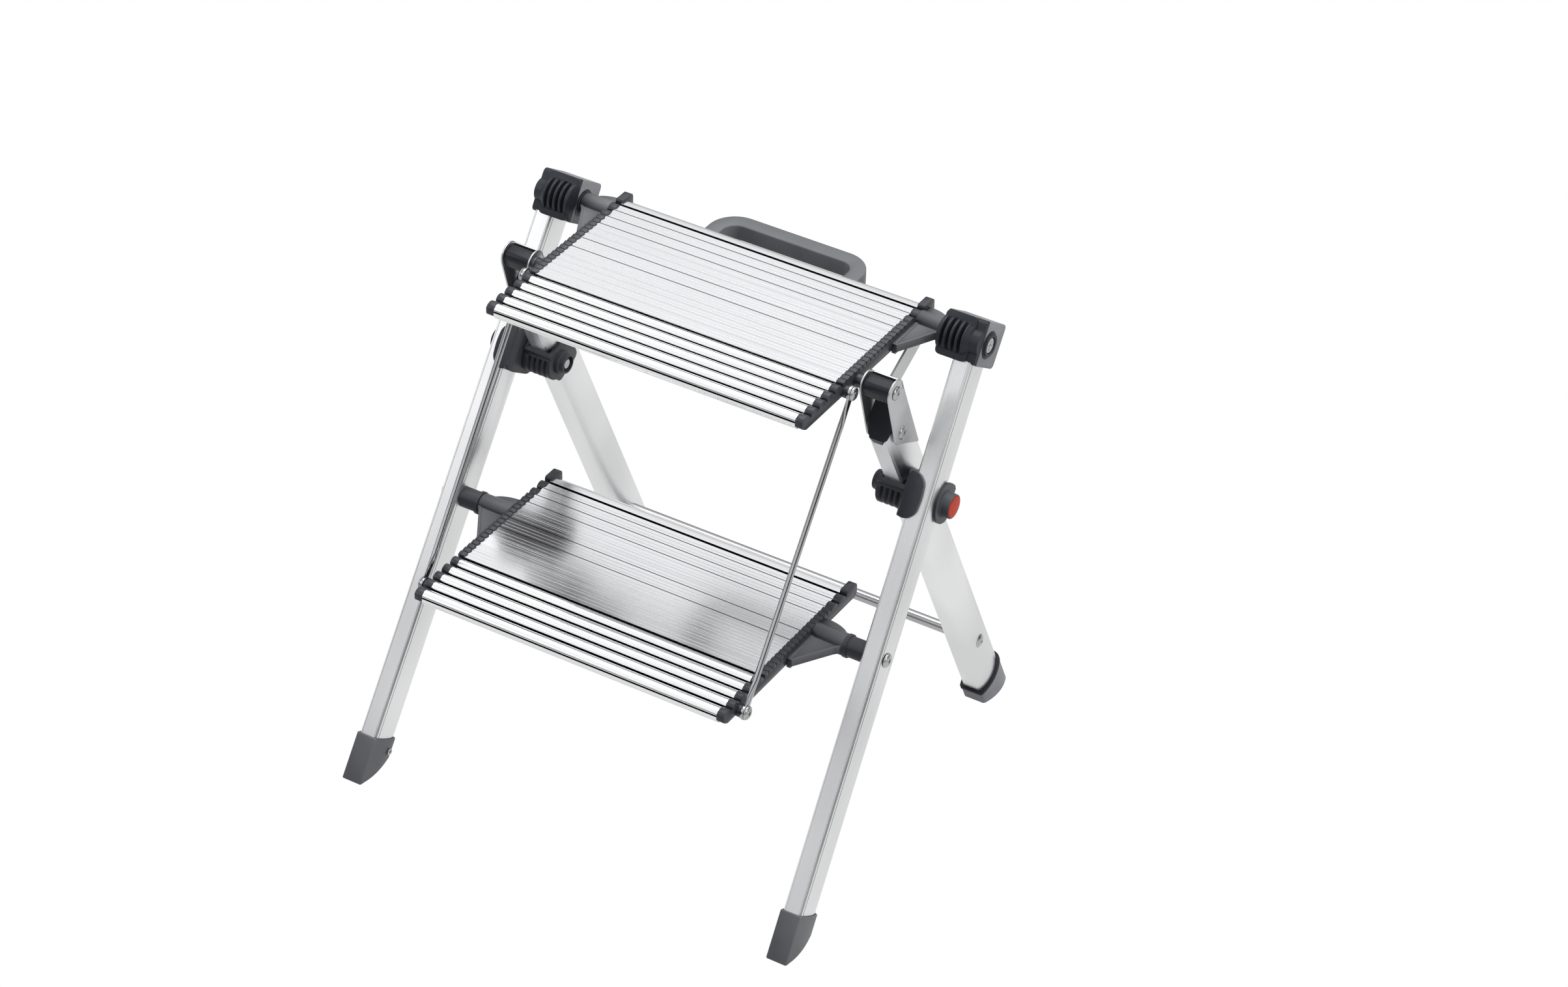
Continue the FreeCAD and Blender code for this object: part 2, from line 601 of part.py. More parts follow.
def make_pivot_pin():
    return pin_along_x(ring_x + PIN_SUNK, knob_tip_x - KNOB_HEIGHT / 2, CROSS_PIVOT_Y, CROSS_PIVOT_Z, PIN_RADIUS)


def make_rear_block():
    """Cradle on the rear leg at the crossing pivot, with a ribbed half round in front."""
    low = -BLOCK_HALF_HEIGHT
    high = BLOCK_HALF_HEIGHT
    body = box(-BLOCK_HALF_WIDTH, BLOCK_HALF_WIDTH, -BLOCK_FRONT_PLATE, BLOCK_REACH, low, high)
    body = round_edges(body, lambda edge: edge_runs_along(edge, vector(0, 0, 1)), BLOCK_EDGE)
    mouth = face_from_points([vector(-big_half, BLOCK_REACH - BLOCK_MOUTH_DEPTH, 0),
                              vector(-big_half, BLOCK_REACH + CUT_OVERRUN, BLOCK_MOUTH_HALF),
                              vector(-big_half, BLOCK_REACH + CUT_OVERRUN, -BLOCK_MOUTH_HALF)])
    body = body.cut(mouth.extrude(vector(2 * big_half, 0, 0)))
    turned = leg_placement(rear_centre_x, rear_line_y, rear_line_z, REAR_SLOPE, 0)
    body = placed(body, turned)
    bulge = ribbed_bulge(CROSS_PIVOT_Y, CROSS_PIVOT_Z, REAR_SLOPE, block_inner_x, rear_centre_x + BLOCK_HALF_WIDTH,
                         BLOCK_BULGE_RADIUS, BLOCK_BULGE_RADIUS - BLOCK_BULGE_PROUD, REAR_PIVOT_DEPTH, BLOCK_SLOT_COUNT,
                         BLOCK_SLOT_WIDTH, BLOCK_SLOT_DEPTH, BLOCK_RIB_WIDTH)
    ring = pin_along_x(ring_x, block_inner_x, CROSS_PIVOT_Y, CROSS_PIVOT_Z, BLOCK_RING_RADIUS)
    block = body.fuse(bulge).fuse(ring).cut(rear_envelope(low - CUT_OVERRUN * 2, high + CUT_OVERRUN * 2))
    block = block.cut(pin_along_x(0, big_half, CROSS_PIVOT_Y, CROSS_PIVOT_Z, PIN_RADIUS + RUNNING_FIT))
    recess = pin_along_x(ring_x, ring_x + BLOCK_RING_RECESS, CROSS_PIVOT_Y, CROSS_PIVOT_Z, BLOCK_RING_BORE)
    return block.cut(recess)


def make_crossbar():
    reach = rear_leg_x(CROSSBAR_Z) - REAR_SWELL_HALF + RAIL_WALL
    outer = pin_along_x(-reach, reach, CROSSBAR_Y, CROSSBAR_Z, CROSSBAR_RADIUS)
    inner = pin_along_x(-reach, reach, CROSSBAR_Y, CROSSBAR_Z, CROSSBAR_RADIUS - CROSSBAR_WALL)
    plug_length = CROSSBAR_RADIUS
    left_plug = pin_along_x(-reach, -reach + plug_length, CROSSBAR_Y, CROSSBAR_Z, CROSSBAR_RADIUS)
    right_plug = pin_along_x(reach - plug_length, reach, CROSSBAR_Y, CROSSBAR_Z, CROSSBAR_RADIUS)
    return outer.cut(inner).fuse(left_plug).fuse(right_plug)


def make_crossbar_rivet():
    start = rear_leg_x(CROSSBAR_Z) - REAR_SWELL_HALF + RAIL_WALL
    outer_x = rear_leg_x(CROSSBAR_Z) + REAR_SWELL_HALF
    shank = pin_along_x(start, outer_x, CROSSBAR_Y, CROSSBAR_Z, CROSSBAR_RIVET_SHANK)
    head = dome_along_x(outer_x, CROSSBAR_Y, CROSSBAR_Z, CROSSBAR_RIVET_RADIUS, CROSSBAR_RIVET_HEIGHT)
    head = head.cut(rear_envelope(rear_floor, 0))
    return shank.fuse(head)


def make_rear_foot():
    values = (REAR_FACE_HALF, REAR_CORNER, REAR_SWELL_HALF, REAR_SWELL_DEPTH, REAR_BACK_HALF, REAR_BACK_DEPTH,
              REAR_DEPTH)
    low = rear_floor - 2 * REAR_DEPTH
    top_front = rear_floor + REAR_CAP_FRONT_RISE
    rim = rear_floor + REAR_CAP_BACK_RISE
    shell = prism_up(grown_section(values, REAR_CAP_WALL), low, top_front)
    band = prism_up(grown_section(values, REAR_CAP_WALL + REAR_CAP_BAND), top_front - REAR_CAP_BAND_HEIGHT, top_front)
    foot = placed(shell.fuse(band), rear_leg).common(above(0))
    return foot.cut(rear_envelope(low - CUT_OVERRUN, rim + CUT_OVERRUN).common(above(REAR_CAP_SOLE)))


# Where the links run.
link_run_y = link_to_tread_y - link_to_rail_y
link_run_z = link_to_tread_z - link_to_rail_z
link_length = math.hypot(link_run_y, link_run_z)
link_slope = math.degrees(math.atan2(link_run_z, link_run_y))
link_centre_x = rear_leg_x(link_to_rail_z)


def link_local(shape):
    return placed(shape, leg_placement(link_centre_x, link_to_rail_y, link_to_rail_z, link_slope, 0))


def link_ear(x0, x1):
    """A plate that is round at the tread pivot, swells behind the leg pivot and ends in a tail behind the leg."""
    front_top = vector(x0, -LINK_END_RADIUS, link_length)
    crown = vector(x0, 0, link_length + LINK_END_RADIUS)
    rear_top = vector(x0, LINK_END_RADIUS, link_length)
    belly = vector(x0, LINK_BELLY, 0)
    tail = vector(x0, LINK_TAIL_BEHIND, -LINK_TAIL_DROP)
    heel = vector(x0, -LINK_END_RADIUS, -LINK_HEEL_DROP)
    edges = [
        Part.Arc(front_top, crown, rear_top).toShape(),
        Part.Arc(rear_top, belly, tail).toShape(),
        Part.makeLine(tail, heel),
        Part.makeLine(heel, front_top),
    ]
    plate = Part.Face(Part.Wire(edges)).extrude(vector(x1 - x0, 0, 0))
    return round_edges(plate, lambda edge: edge_runs_along(edge, ALONG_X) and edge.Vertexes[0].Z < 0, LINK_CORNER)


def make_link():
    inner = -LINK_HALF_GAP - LINK_PLATE
    outer = LINK_HALF_GAP + LINK_PLATE
    ears = link_ear(inner, -LINK_HALF_GAP).fuse(link_ear(LINK_HALF_GAP, outer))
    web = box(inner, outer, LINK_WEB_OFFSET - LINK_PLATE, LINK_WEB_OFFSET, link_length - LINK_WEB_BELOW,
              link_length + LINK_WEB_ABOVE)
    link = link_local(ears.fuse(web))
    link = link.cut(pin_along_x(0, big_half, link_to_tread_y, link_to_tread_z, LINK_PIN_RADIUS + RUNNING_FIT))
    return link.cut(pin_along_x(0, big_half, link_to_rail_y, link_to_rail_z, LINK_PIN_RADIUS))


def make_roller():
    """A faceted drum between the ears."""
    x0 = link_centre_x - LINK_HALF_GAP + SIDE_GAP
    x1 = link_centre_x + LINK_HALF_GAP - SIDE_GAP
    points = []
    for index in range(ROLLER_FLAT_COUNT):
        angle = 2 * math.pi * index / ROLLER_FLAT_COUNT
        points.append((link_to_tread_y + ROLLER_RADIUS * math.cos(angle),
                       link_to_tread_z + ROLLER_RADIUS * math.sin(angle)))
    drum = plate_along_x(points, x0, x1)
    return drum.cut(pin_along_x(x0 - CUT_OVERRUN, x1 + CUT_OVERRUN, link_to_tread_y, link_to_tread_z,
                                LINK_PIN_RADIUS + RUNNING_FIT))


def make_link_rivets():
    """Two short rivets, one through each ear, both clear of the leg between them."""
    outer_face = link_centre_x + LINK_HALF_GAP + LINK_PLATE
    inner_face = link_centre_x - LINK_HALF_GAP - LINK_PLATE
    shank = pin_along_x(outer_face - LINK_PLATE, outer_face, link_to_rail_y, link_to_rail_z, LINK_PIN_RADIUS)
    head = dome_along_x(outer_face, link_to_rail_y, link_to_rail_z, LINK_RIVET_RADIUS, LINK_RIVET_HEIGHT)
    outer = shank.fuse(head)
    inner_shank = pin_along_x(inner_face, inner_face + LINK_PLATE, link_to_rail_y, link_to_rail_z, LINK_PIN_RADIUS)
    inner_head = dome_along_x(-inner_face, link_to_rail_y, link_to_rail_z, LINK_RIVET_RADIUS, LINK_RIVET_HEIGHT)
    inner = inner_shank.fuse(mirrored(inner_head))
    return Part.makeCompound([outer, inner])


def make_link_pin():
    """The pin that carries the roller; it is fixed in the tread's end."""
    outer_face = link_centre_x + LINK_HALF_GAP + LINK_PLATE
    inner_face = link_centre_x - LINK_HALF_GAP - LINK_PLATE
    pin = pin_along_x(root_x, outer_face + SIDE_GAP, link_to_tread_y, link_to_tread_z, LINK_PIN_RADIUS)
    collar = pin_along_x(cap_outer_x, inner_face - SIDE_GAP, link_to_tread_y, link_to_tread_z, LINK_COLLAR_RADIUS)
    head = dome_along_x(outer_face + SIDE_GAP, link_to_tread_y, link_to_tread_z, LINK_RIVET_RADIUS,
                        LINK_RIVET_HEIGHT)
    return pin.fuse(collar).fuse(head)


def tread_outline(front_y, rear_y, crest_z, rear_humps, rear_block, grow):
    """The side view of a tread: rounded bars in front, flat bars, then rounded bars or one wide bar."""
    front = front_y - TREAD_OVERHANG
    rear = rear_y + TREAD_OVERHANG
    rear_length = rear_humps * HUMP_PITCH + rear_block
    flat_length = rear - front - FRONT_HUMPS * HUMP_PITCH - rear_length
    flat_count = round(flat_length / HUMP_PITCH)
    bars = [(HUMP_PITCH, True)] * FRONT_HUMPS
    bars += [(flat_length / flat_count, False)] * flat_count
    bars += [(HUMP_PITCH, True)] * rear_humps
    if rear_block > 0:
        bars += [(rear_block, True)]
    edges = []
    start = front
    previous = vector(0, front - grow, crest_z - TREAD_THICKNESS - grow)
    for index, (length, rounded) in enumerate(bars):
        left_gap = 0 if index == 0 else GROOVE_WIDTH / 2
        right_gap = 0 if index == len(bars) - 1 else GROOVE_WIDTH / 2
        left_grow = grow if index == 0 else 0
        right_grow = grow if index == len(bars) - 1 else 0
        y0 = start + left_gap - left_grow
        y1 = start + length - right_gap + right_grow
        if rounded:
            shoulder = crest_z - HUMP_DROP + grow
            begin = vector(0, y0, shoulder)
            crest = vector(0, (y0 + y1) / 2, crest_z + grow)
            finish = vector(0, y1, shoulder)
            edges.append(Part.makeLine(previous, begin))
            edges.append(Part.Arc(begin, crest, finish).toShape())
        else:
            level = crest_z - FLAT_DROP + grow
            begin = vector(0, y0, level)
            finish = vector(0, y1, level)
            edges.append(Part.makeLine(previous, begin))
            edges.append(Part.makeLine(begin, finish))
        if index < len(bars) - 1:
            deep = rounded and bars[index + 1][1]
            floor_z = crest_z - (GROOVE_DEPTH if deep else FLAT_GROOVE + FLAT_DROP)
            bottom_left = vector(0, y1, floor_z)
            bottom_right = vector(0, start + length + GROOVE_WIDTH / 2, floor_z)
            edges.append(Part.makeLine(finish, bottom_left))
            edges.append(Part.makeLine(bottom_left, bottom_right))
            previous = bottom_right
        else:
            corner = vector(0, rear + grow, crest_z - TREAD_THICKNESS - grow)
            edges.append(Part.makeLine(finish, corner))
            edges.append(Part.makeLine(corner, vector(0, front - grow, crest_z - TREAD_THICKNESS - grow)))
        start += length
    return Part.Face(Part.Wire(edges))


def slab(face, x0, x1):
    moved = face.copy()
    moved.translate(vector(x0, 0, 0))
    return moved.extrude(vector(x1 - x0, 0, 0))


def make_tread(front_y, rear_y, crest_z, rear_humps, rear_block):
    """A thin skin on cross walls, open underneath."""
    solid = slab(tread_outline(front_y, rear_y, crest_z, rear_humps, rear_block, 0), -TREAD_HALF, TREAD_HALF)
    front = front_y - TREAD_OVERHANG + TREAD_SKIN
    rear = rear_y + TREAD_OVERHANG - TREAD_SKIN
    pitch = (rear - front + TREAD_RIB) / TREAD_CELL_COUNT
    cell_top = crest_z - GROOVE_DEPTH - TREAD_SKIN
    for index in range(TREAD_CELL_COUNT):
        y0 = front + index * pitch
        cell = box(-TREAD_HALF - CUT_OVERRUN, TREAD_HALF + CUT_OVERRUN, y0, y0 + pitch - TREAD_RIB,
                   crest_z - TREAD_THICKNESS - CUT_OVERRUN, cell_top)
        solid = solid.cut(cell)
    return solid


def make_end_cap(front_y, rear_y, crest_z, rear_humps, rear_block):
    return slab(tread_outline(front_y, rear_y, crest_z, rear_humps, rear_block, CAP_GROW), TREAD_HALF, cap_outer_x)


def make_bracket(y, z, end_x):
    """A sleeve round the hinge shaft with a long fin in front and a short one behind."""
    sleeve = pin_along_x(cap_outer_x, end_x, y, z, SLEEVE_RADIUS)
    front_fin = [(cap_outer_x, y), (cap_outer_x, y - FIN_FRONT_REACH), (cap_outer_x + BRACKET_PAD, y - FIN_FRONT_REACH),
                 (end_x - FIN_TIP_WIDTH, y - SLEEVE_RADIUS - FIN_LIP), (end_x, y - SLEEVE_RADIUS), (end_x, y)]
    rear_fin = [(cap_outer_x, y), (end_x, y), (end_x, y + SLEEVE_RADIUS),
                (end_x - FIN_TIP_WIDTH, y + SLEEVE_RADIUS + FIN_LIP),
                (cap_outer_x + BRACKET_PAD, y + FIN_REAR_REACH), (cap_outer_x, y + FIN_REAR_REACH)]
    front_plate = plate_upwards(front_fin, z + FIN_BOTTOM, z + FIN_TOP)
    rear_plate = plate_upwards(rear_fin, z + FIN_BOTTOM, z + FIN_TOP)
    pad = box(cap_outer_x, cap_outer_x + BRACKET_PAD, y - FIN_FRONT_REACH, y + FIN_REAR_REACH,
              z + FIN_BOTTOM - FIN_LIP_DROP, z + FIN_TOP)
    bracket = sleeve.fuse(front_plate).fuse(rear_plate).fuse(pad)
    return bracket.cut(pin_along_x(cap_outer_x - CUT_OVERRUN, end_x + CUT_OVERRUN, y, z, SHAFT_RADIUS + RUNNING_FIT))


def make_top_shaft():
    shaft = pin_along_x(root_x, clamp_outer_x, TOP_HINGE_Y, TOP_HINGE_Z, SHAFT_RADIUS)
    head = pin_along_x(clamp_outer_x, clamp_outer_x + RIVET_RECESS_HEIGHT, TOP_HINGE_Y, TOP_HINGE_Z,
                       RIVET_RECESS_RADIUS)
    dimple = pin_along_x(clamp_outer_x + RIVET_RECESS_HEIGHT - RIVET_DIMPLE_DEPTH, clamp_outer_x + CUT_OVERRUN,
                         TOP_HINGE_Y, TOP_HINGE_Z, RIVET_DIMPLE_RADIUS)
    return shaft.fuse(head).cut(dimple)


def make_lower_shaft():
    outer = front_leg_x(LOWER_HINGE_Z) + FRONT_SWELL_HALF
    shaft = pin_along_x(root_x, outer, LOWER_HINGE_Y, LOWER_HINGE_Z, SHAFT_RADIUS)
    head = dome_along_x(outer, LOWER_HINGE_Y, LOWER_HINGE_Z, LOWER_RIVET_RADIUS, LOWER_RIVET_HEIGHT)
    return shaft.fuse(head)


def make_lower_bush():
    """The spacer tube between the front leg and the lower bracket."""
    tube = pin_along_x(bush_x, lower_wall_x + RAIL_WALL, LOWER_HINGE_Y, LOWER_HINGE_Z, BUSH_RADIUS)
    lip = pin_along_x(bush_x, bush_x + BUSH_LIP_LENGTH, LOWER_HINGE_Y, LOWER_HINGE_Z, BUSH_LIP_RADIUS)
    tube = tube.fuse(lip).cut(front_envelope(lower_height - FRONT_DEPTH, lower_height + FRONT_DEPTH))
    return tube.cut(pin_along_x(0, big_half, LOWER_HINGE_Y, LOWER_HINGE_Z, SHAFT_RADIUS))


def make_side_stay():
    """A straight strip that hangs from the top bracket's pad and leans forward, with a round foot."""
    foot_y = TOP_HINGE_Y - STAY_FOOT_AHEAD
    foot_z = TOP_HINGE_Z - STAY_FOOT_BELOW
    outer_x = cap_outer_x + STAY_PLATE
    slope = math.radians(STAY_SLOPE)
    half_y = STAY_HALF * math.sin(slope)
    half_z = STAY_HALF * math.cos(slope)
    length = (TOP_HINGE_Y - STAY_HEAD_AHEAD - foot_y) / math.cos(slope)
    head_y = foot_y + length * math.cos(slope)
    head_z = foot_z + length * math.sin(slope)
    strip = plate_along_x([(foot_y + half_y, foot_z - half_z), (head_y + half_y, head_z - half_z),
                           (head_y - half_y, head_z + half_z), (foot_y - half_y, foot_z + half_z)], cap_outer_x, outer_x)
    strip = strip.fuse(pin_along_x(cap_outer_x, outer_x, foot_y, foot_z, STAY_HALF))
    neck = plate_along_x([(head_y + half_y, head_z - half_z), (head_y + half_y, TOP_HINGE_Z),
                          (head_y - 2 * STAY_HALF, TOP_HINGE_Z), (head_y - 2 * STAY_HALF, head_z - half_z)],
                         cap_outer_x, outer_x)
    plate = strip.fuse(neck)
    pad_under_z = TOP_HINGE_Z + FIN_BOTTOM - FIN_LIP_DROP
    plate = plate.cut(above(pad_under_z))
    return plate.cut(make_bracket(TOP_HINGE_Y, TOP_HINGE_Z, collar_x - SIDE_GAP))


strut_slope = math.degrees(math.atan2(TOP_HINGE_Z - LOWER_HINGE_Z, TOP_HINGE_Y - LOWER_HINGE_Y))


def make_strut():
    """A round rod whose ends are pressed flat and drilled."""
    half_thick = STRUT_EYE_THICK / 2
    rod = Part.makeCylinder(STRUT_RADIUS, strut_length - 2 * (STRUT_EYE_NECK + STRUT_FLAT_TAPER),
                            vector(0, 0, STRUT_EYE_NECK + STRUT_FLAT_TAPER), vector(0, 0, 1))
    strut = rod
    for height, direction in ((0, 1), (strut_length, -1)):
        eye = Part.makeCylinder(STRUT_EYE_RADIUS, STRUT_EYE_THICK, vector(-half_thick, 0, height), ALONG_X)
        neck_end = height + direction * STRUT_EYE_NECK
        rod_end = height + direction * (STRUT_EYE_NECK + STRUT_FLAT_TAPER)
        neck = box(-half_thick, half_thick, -STRUT_EYE_RADIUS + half_thick, STRUT_EYE_RADIUS - half_thick,
                   min(height, neck_end), max(height, neck_end))
        flat_wire = Part.makePolygon([vector(-half_thick, -STRUT_EYE_RADIUS + half_thick, neck_end),
                                      vector(half_thick, -STRUT_EYE_RADIUS + half_thick, neck_end),
                                      vector(half_thick, STRUT_EYE_RADIUS - half_thick, neck_end),
                                      vector(-half_thick, STRUT_EYE_RADIUS - half_thick, neck_end),
                                      vector(-half_thick, -STRUT_EYE_RADIUS + half_thick, neck_end)])
        side = STRUT_RADIUS / math.sqrt(2)
        square_wire = Part.makePolygon([vector(-side, -side, rod_end), vector(side, -side, rod_end),
                                        vector(side, side, rod_end), vector(-side, side, rod_end),
                                        vector(-side, -side, rod_end)])
        taper = Part.makeLoft([flat_wire, square_wire], True, True)
        strut = strut.fuse(eye).fuse(neck).fuse(taper)
        strut = strut.cut(Part.makeCylinder(STRUT_PIN_RADIUS + RUNNING_FIT, 2 * STRUT_EYE_THICK,
                                            vector(-STRUT_EYE_THICK, 0, height), ALONG_X))
    return placed(strut, leg_placement(strut_middle_x, lower_strut_y, LOWER_HINGE_Z, strut_slope, 0))


def make_strut_rivet(y, z):
    eye_outer = strut_middle_x + STRUT_EYE_THICK / 2 + SIDE_GAP
    pin = pin_along_x(root_x, eye_outer, y, z, STRUT_PIN_RADIUS)
    collar = pin_along_x(cap_outer_x, strut_middle_x - STRUT_EYE_THICK / 2 - SIDE_GAP, y, z, STRUT_COLLAR_RADIUS)
    head = dome_along_x(eye_outer, y, z, STRUT_HEAD_RADIUS, STRUT_HEAD_HEIGHT)
    return pin.fuse(collar).fuse(head)


def rounded_slab(half_width, y0, y1, corner, z0, z1):
    body = box(-half_width, half_width, y0, y1, z0, z1)
    return round_edges(body, lambda edge: edge_runs_along(edge, vector(0, 0, 1)) and edge.Vertexes[0].Y > y0 + corner,
                       corner)


def make_handle():
    """A hollow-backed loop: a bar carried on two arms whose roots lie under the tread."""
    rear_crest = TOP_HINGE_Y + TREAD_REAR_BEHIND
    root = rear_crest + TREAD_OVERHANG - HANDLE_UNDER_TREAD
    outer_end = rear_crest + HANDLE_BEHIND
    z1 = TOP_HINGE_Z + TREAD_CREST - TREAD_THICKNESS
    z0 = z1 - HANDLE_THICK
    outer = rounded_slab(HANDLE_HALF, root, outer_end, HANDLE_OUTER_CORNER, z0, z1)
    opening = rounded_slab(HANDLE_HALF - HANDLE_SIDE, root - CUT_OVERRUN, outer_end - HANDLE_BAR,
                           HANDLE_INNER_CORNER, z0 - CUT_OVERRUN, z1 + CUT_OVERRUN)
    wall = (HANDLE_BAR - HANDLE_HOLLOW_WIDTH) / 2
    hollow_outer = rounded_slab(HANDLE_HALF - wall, root + wall, outer_end - wall, HANDLE_OUTER_CORNER - wall,
                                z0 - CUT_OVERRUN, z0 + HANDLE_HOLLOW_DEPTH)
    hollow_inner = rounded_slab(HANDLE_HALF - HANDLE_SIDE + wall, root - CUT_OVERRUN, outer_end - HANDLE_BAR + wall,
                                HANDLE_INNER_CORNER + wall, z0 - CUT_OVERRUN, z1)
    return outer.cut(opening).cut(hollow_outer.cut(hollow_inner))


def drilled(shape, drills):
    for drill in drills:
        shape = shape.cut(drill)
    return shape


def save(name, shape):
    shape.exportStep(os.path.join("parts", name + ".step"))


def save_pair(name, right):
    save(name + "_right", right)
    save(name + "_left", mirrored(right))


def save_group(name, right):
    solids = list(right.Solids) + list(mirrored(right).Solids)
    save(name, Part.makeCompound(solids))


def build_front_frame():
    save_pair("front_leg", make_front_leg())
    save_pair("top_clamp", make_clamp())
    foot = make_front_foot()
    screw = make_foot_screw()
    save_pair("front_foot", foot.cut(screw))
    save_group("foot_screws", screw.cut(front_envelope(front_floor - FRONT_DEPTH, 0)))
    save_pair("pivot_saddle", make_saddle())
    save_pair("pivot_knob", make_knob())
    save_pair("knob_disc", make_disc())
    save_group("pivot_pins", make_pivot_pin())
    save_group("top_shafts", make_top_shaft())
    save_group("lower_shafts", make_lower_shaft())
    save_group("lower_bushes", make_lower_bush())


def build_rear_frame():
    save_pair("rear_leg", make_rear_leg())
    save_pair("rear_block", make_rear_block())
    save("rear_crossbar", make_crossbar())
    save_group("crossbar_rivets", make_crossbar_rivet())
    save_pair("rear_foot", make_rear_foot())
    save_pair("rail_plug", make_rail_plug())


def build_links():
    save_pair("link_bracket", make_link())
    save_pair("link_roller", make_roller())
    rivets = make_link_rivets()
    save("link_rivets_right", rivets)
    save("link_rivets_left", Part.makeCompound([mirrored(solid) for solid in rivets.Solids]))


def build_top_platform():
    front_y = TOP_HINGE_Y - TREAD_FRONT_AHEAD
    rear_y = TOP_HINGE_Y + TREAD_REAR_BEHIND
    crest_z = TOP_HINGE_Z + TREAD_CREST
    shaft_hole = pin_along_x(0, big_half, TOP_HINGE_Y, TOP_HINGE_Z, SHAFT_RADIUS + RUNNING_FIT)
    rivet = make_strut_rivet(upper_strut_y, TOP_HINGE_Z)
    link_pin = make_link_pin()
    tread = make_tread(front_y, rear_y, crest_z, 0, TOP_REAR_BLOCK)
    cap = make_end_cap(front_y, rear_y, crest_z, 0, TOP_REAR_BLOCK)
    save("top_tread", tread)
    save_pair("top_end_cap", drilled(cap, [shaft_hole, rivet, link_pin]))
    save_pair("top_bracket", make_bracket(TOP_HINGE_Y, TOP_HINGE_Z, collar_x - SIDE_GAP))
    save_pair("side_stay", make_side_stay())
    save("carry_handle", make_handle())
    save_group("upper_strut_rivets", rivet)
    save_group("link_pins", link_pin)


def build_lower_step():
    front_y = LOWER_HINGE_Y - LOWER_FRONT_AHEAD
    rear_y = LOWER_HINGE_Y + LOWER_REAR_BEHIND
    crest_z = LOWER_HINGE_Z + LOWER_CREST
    shaft_hole = pin_along_x(0, big_half, LOWER_HINGE_Y, LOWER_HINGE_Z, SHAFT_RADIUS + RUNNING_FIT)
    rivet = make_strut_rivet(lower_strut_y, LOWER_HINGE_Z)
    save("lower_tread", make_tread(front_y, rear_y, crest_z, LOWER_REAR_HUMPS, 0))
    cap = make_end_cap(front_y, rear_y, crest_z, LOWER_REAR_HUMPS, 0)
    save_pair("lower_end_cap", drilled(cap, [shaft_hole, rivet]))
    save_pair("lower_bracket", make_bracket(LOWER_HINGE_Y, LOWER_HINGE_Z, bush_x - SIDE_GAP))
    save_group("lower_strut_rivets", rivet)


os.makedirs("parts", exist_ok=True)
build_front_frame()
build_rear_frame()
build_links()
build_top_platform()
build_lower_step()
save_pair("strut", make_strut())
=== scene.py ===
import json
import math

import bpy
from mathutils import Matrix, Vector


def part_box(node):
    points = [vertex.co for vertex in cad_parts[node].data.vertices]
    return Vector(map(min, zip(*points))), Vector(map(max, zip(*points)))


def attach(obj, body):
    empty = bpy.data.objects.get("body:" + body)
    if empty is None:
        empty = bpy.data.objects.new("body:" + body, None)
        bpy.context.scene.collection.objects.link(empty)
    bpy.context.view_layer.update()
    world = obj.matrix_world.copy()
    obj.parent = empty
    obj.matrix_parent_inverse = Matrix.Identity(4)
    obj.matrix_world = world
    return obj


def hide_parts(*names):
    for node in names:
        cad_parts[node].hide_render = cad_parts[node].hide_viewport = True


bl_info = {
    "name": "Folding Step Stool",
    "version": (1, 0, 0),
    "blender": (4, 5, 0),
    "location": "View3D > Sidebar > Step Stool",
    "description": "Dresses a two-tread folding stool: ribbed treads, moulded clamps, links and finishes",
    "category": "Add Mesh",
}

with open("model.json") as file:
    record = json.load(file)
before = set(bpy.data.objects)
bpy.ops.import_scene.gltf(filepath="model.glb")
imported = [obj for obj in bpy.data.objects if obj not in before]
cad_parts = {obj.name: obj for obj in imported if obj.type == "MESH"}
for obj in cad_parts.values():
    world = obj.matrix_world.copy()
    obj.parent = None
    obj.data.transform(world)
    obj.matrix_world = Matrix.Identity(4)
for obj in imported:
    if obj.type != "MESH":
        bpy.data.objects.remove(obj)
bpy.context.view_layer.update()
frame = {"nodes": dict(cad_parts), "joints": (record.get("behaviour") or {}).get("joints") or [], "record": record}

MM = 0.001
X, Y, Z = range(3)


# What the frame gives, in millimetres.

def pivot(name):
    """The place of a joint."""
    joint = next(joint for joint in frame["joints"] if joint["name"] == name)
    return tuple(value / MM for value in joint["pos_m"])


def extent(node, axis):
    """The lowest and the highest place of a frame piece along an axis."""
    low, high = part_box(node)
    return low[axis] / MM, high[axis] / MM


def middle(node):
    """The middle of a frame piece, seen from the side, as (y, z)."""
    return tuple(sum(extent(node, axis)) / 2 for axis in (Y, Z))


# Pivots of the right-hand side as (y, z).
TOP_HINGE = pivot("platform_fold")[Y:]
LOWER_HINGE = pivot("lower_step_fold")[Y:]
CROSSING = pivot("rear_frame_fold")[Y:]
LINK_TOP = pivot("link_turn_right")[Y:]
STRUT_TOP = pivot("strut_turn_right")[Y:]
KNEE = middle("link_rivets_right")
STRUT_FOOT = middle("lower_strut_rivets")

TREADS = {"top_tread": "top_platform", "lower_tread": "lower_step"}
TREAD_FRONTS = {tread: extent(tread, Y)[0] for tread in TREADS}
TREAD_CRESTS = {tread: extent(tread, Z)[1] for tread in TREADS}
TREAD_DEPTH = extent("top_tread", Y)[1] - TREAD_FRONTS["top_tread"]
TREAD_HALF = extent("top_tread", X)[1]
CAP_OUTER = extent("top_end_cap_right", X)[1]
STRUT_X = pivot("strut_turn_right")[X]

# The legs: their middle at the upper pivot, their slope in degrees, their splay as a share of their
# height, and a point of their front face as (y, z).
FRONT_X = 201.25
FRONT_SLOPE = 56.5
FRONT_SPLAY_SHARE = 0.0235
FRONT_LINE = (-57.9, 237.4)
REAR_X = 172.5
REAR_SLOPE = 115.85
REAR_SPLAY_SHARE = 0.02
REAR_LINE = (21.82, 310.53)

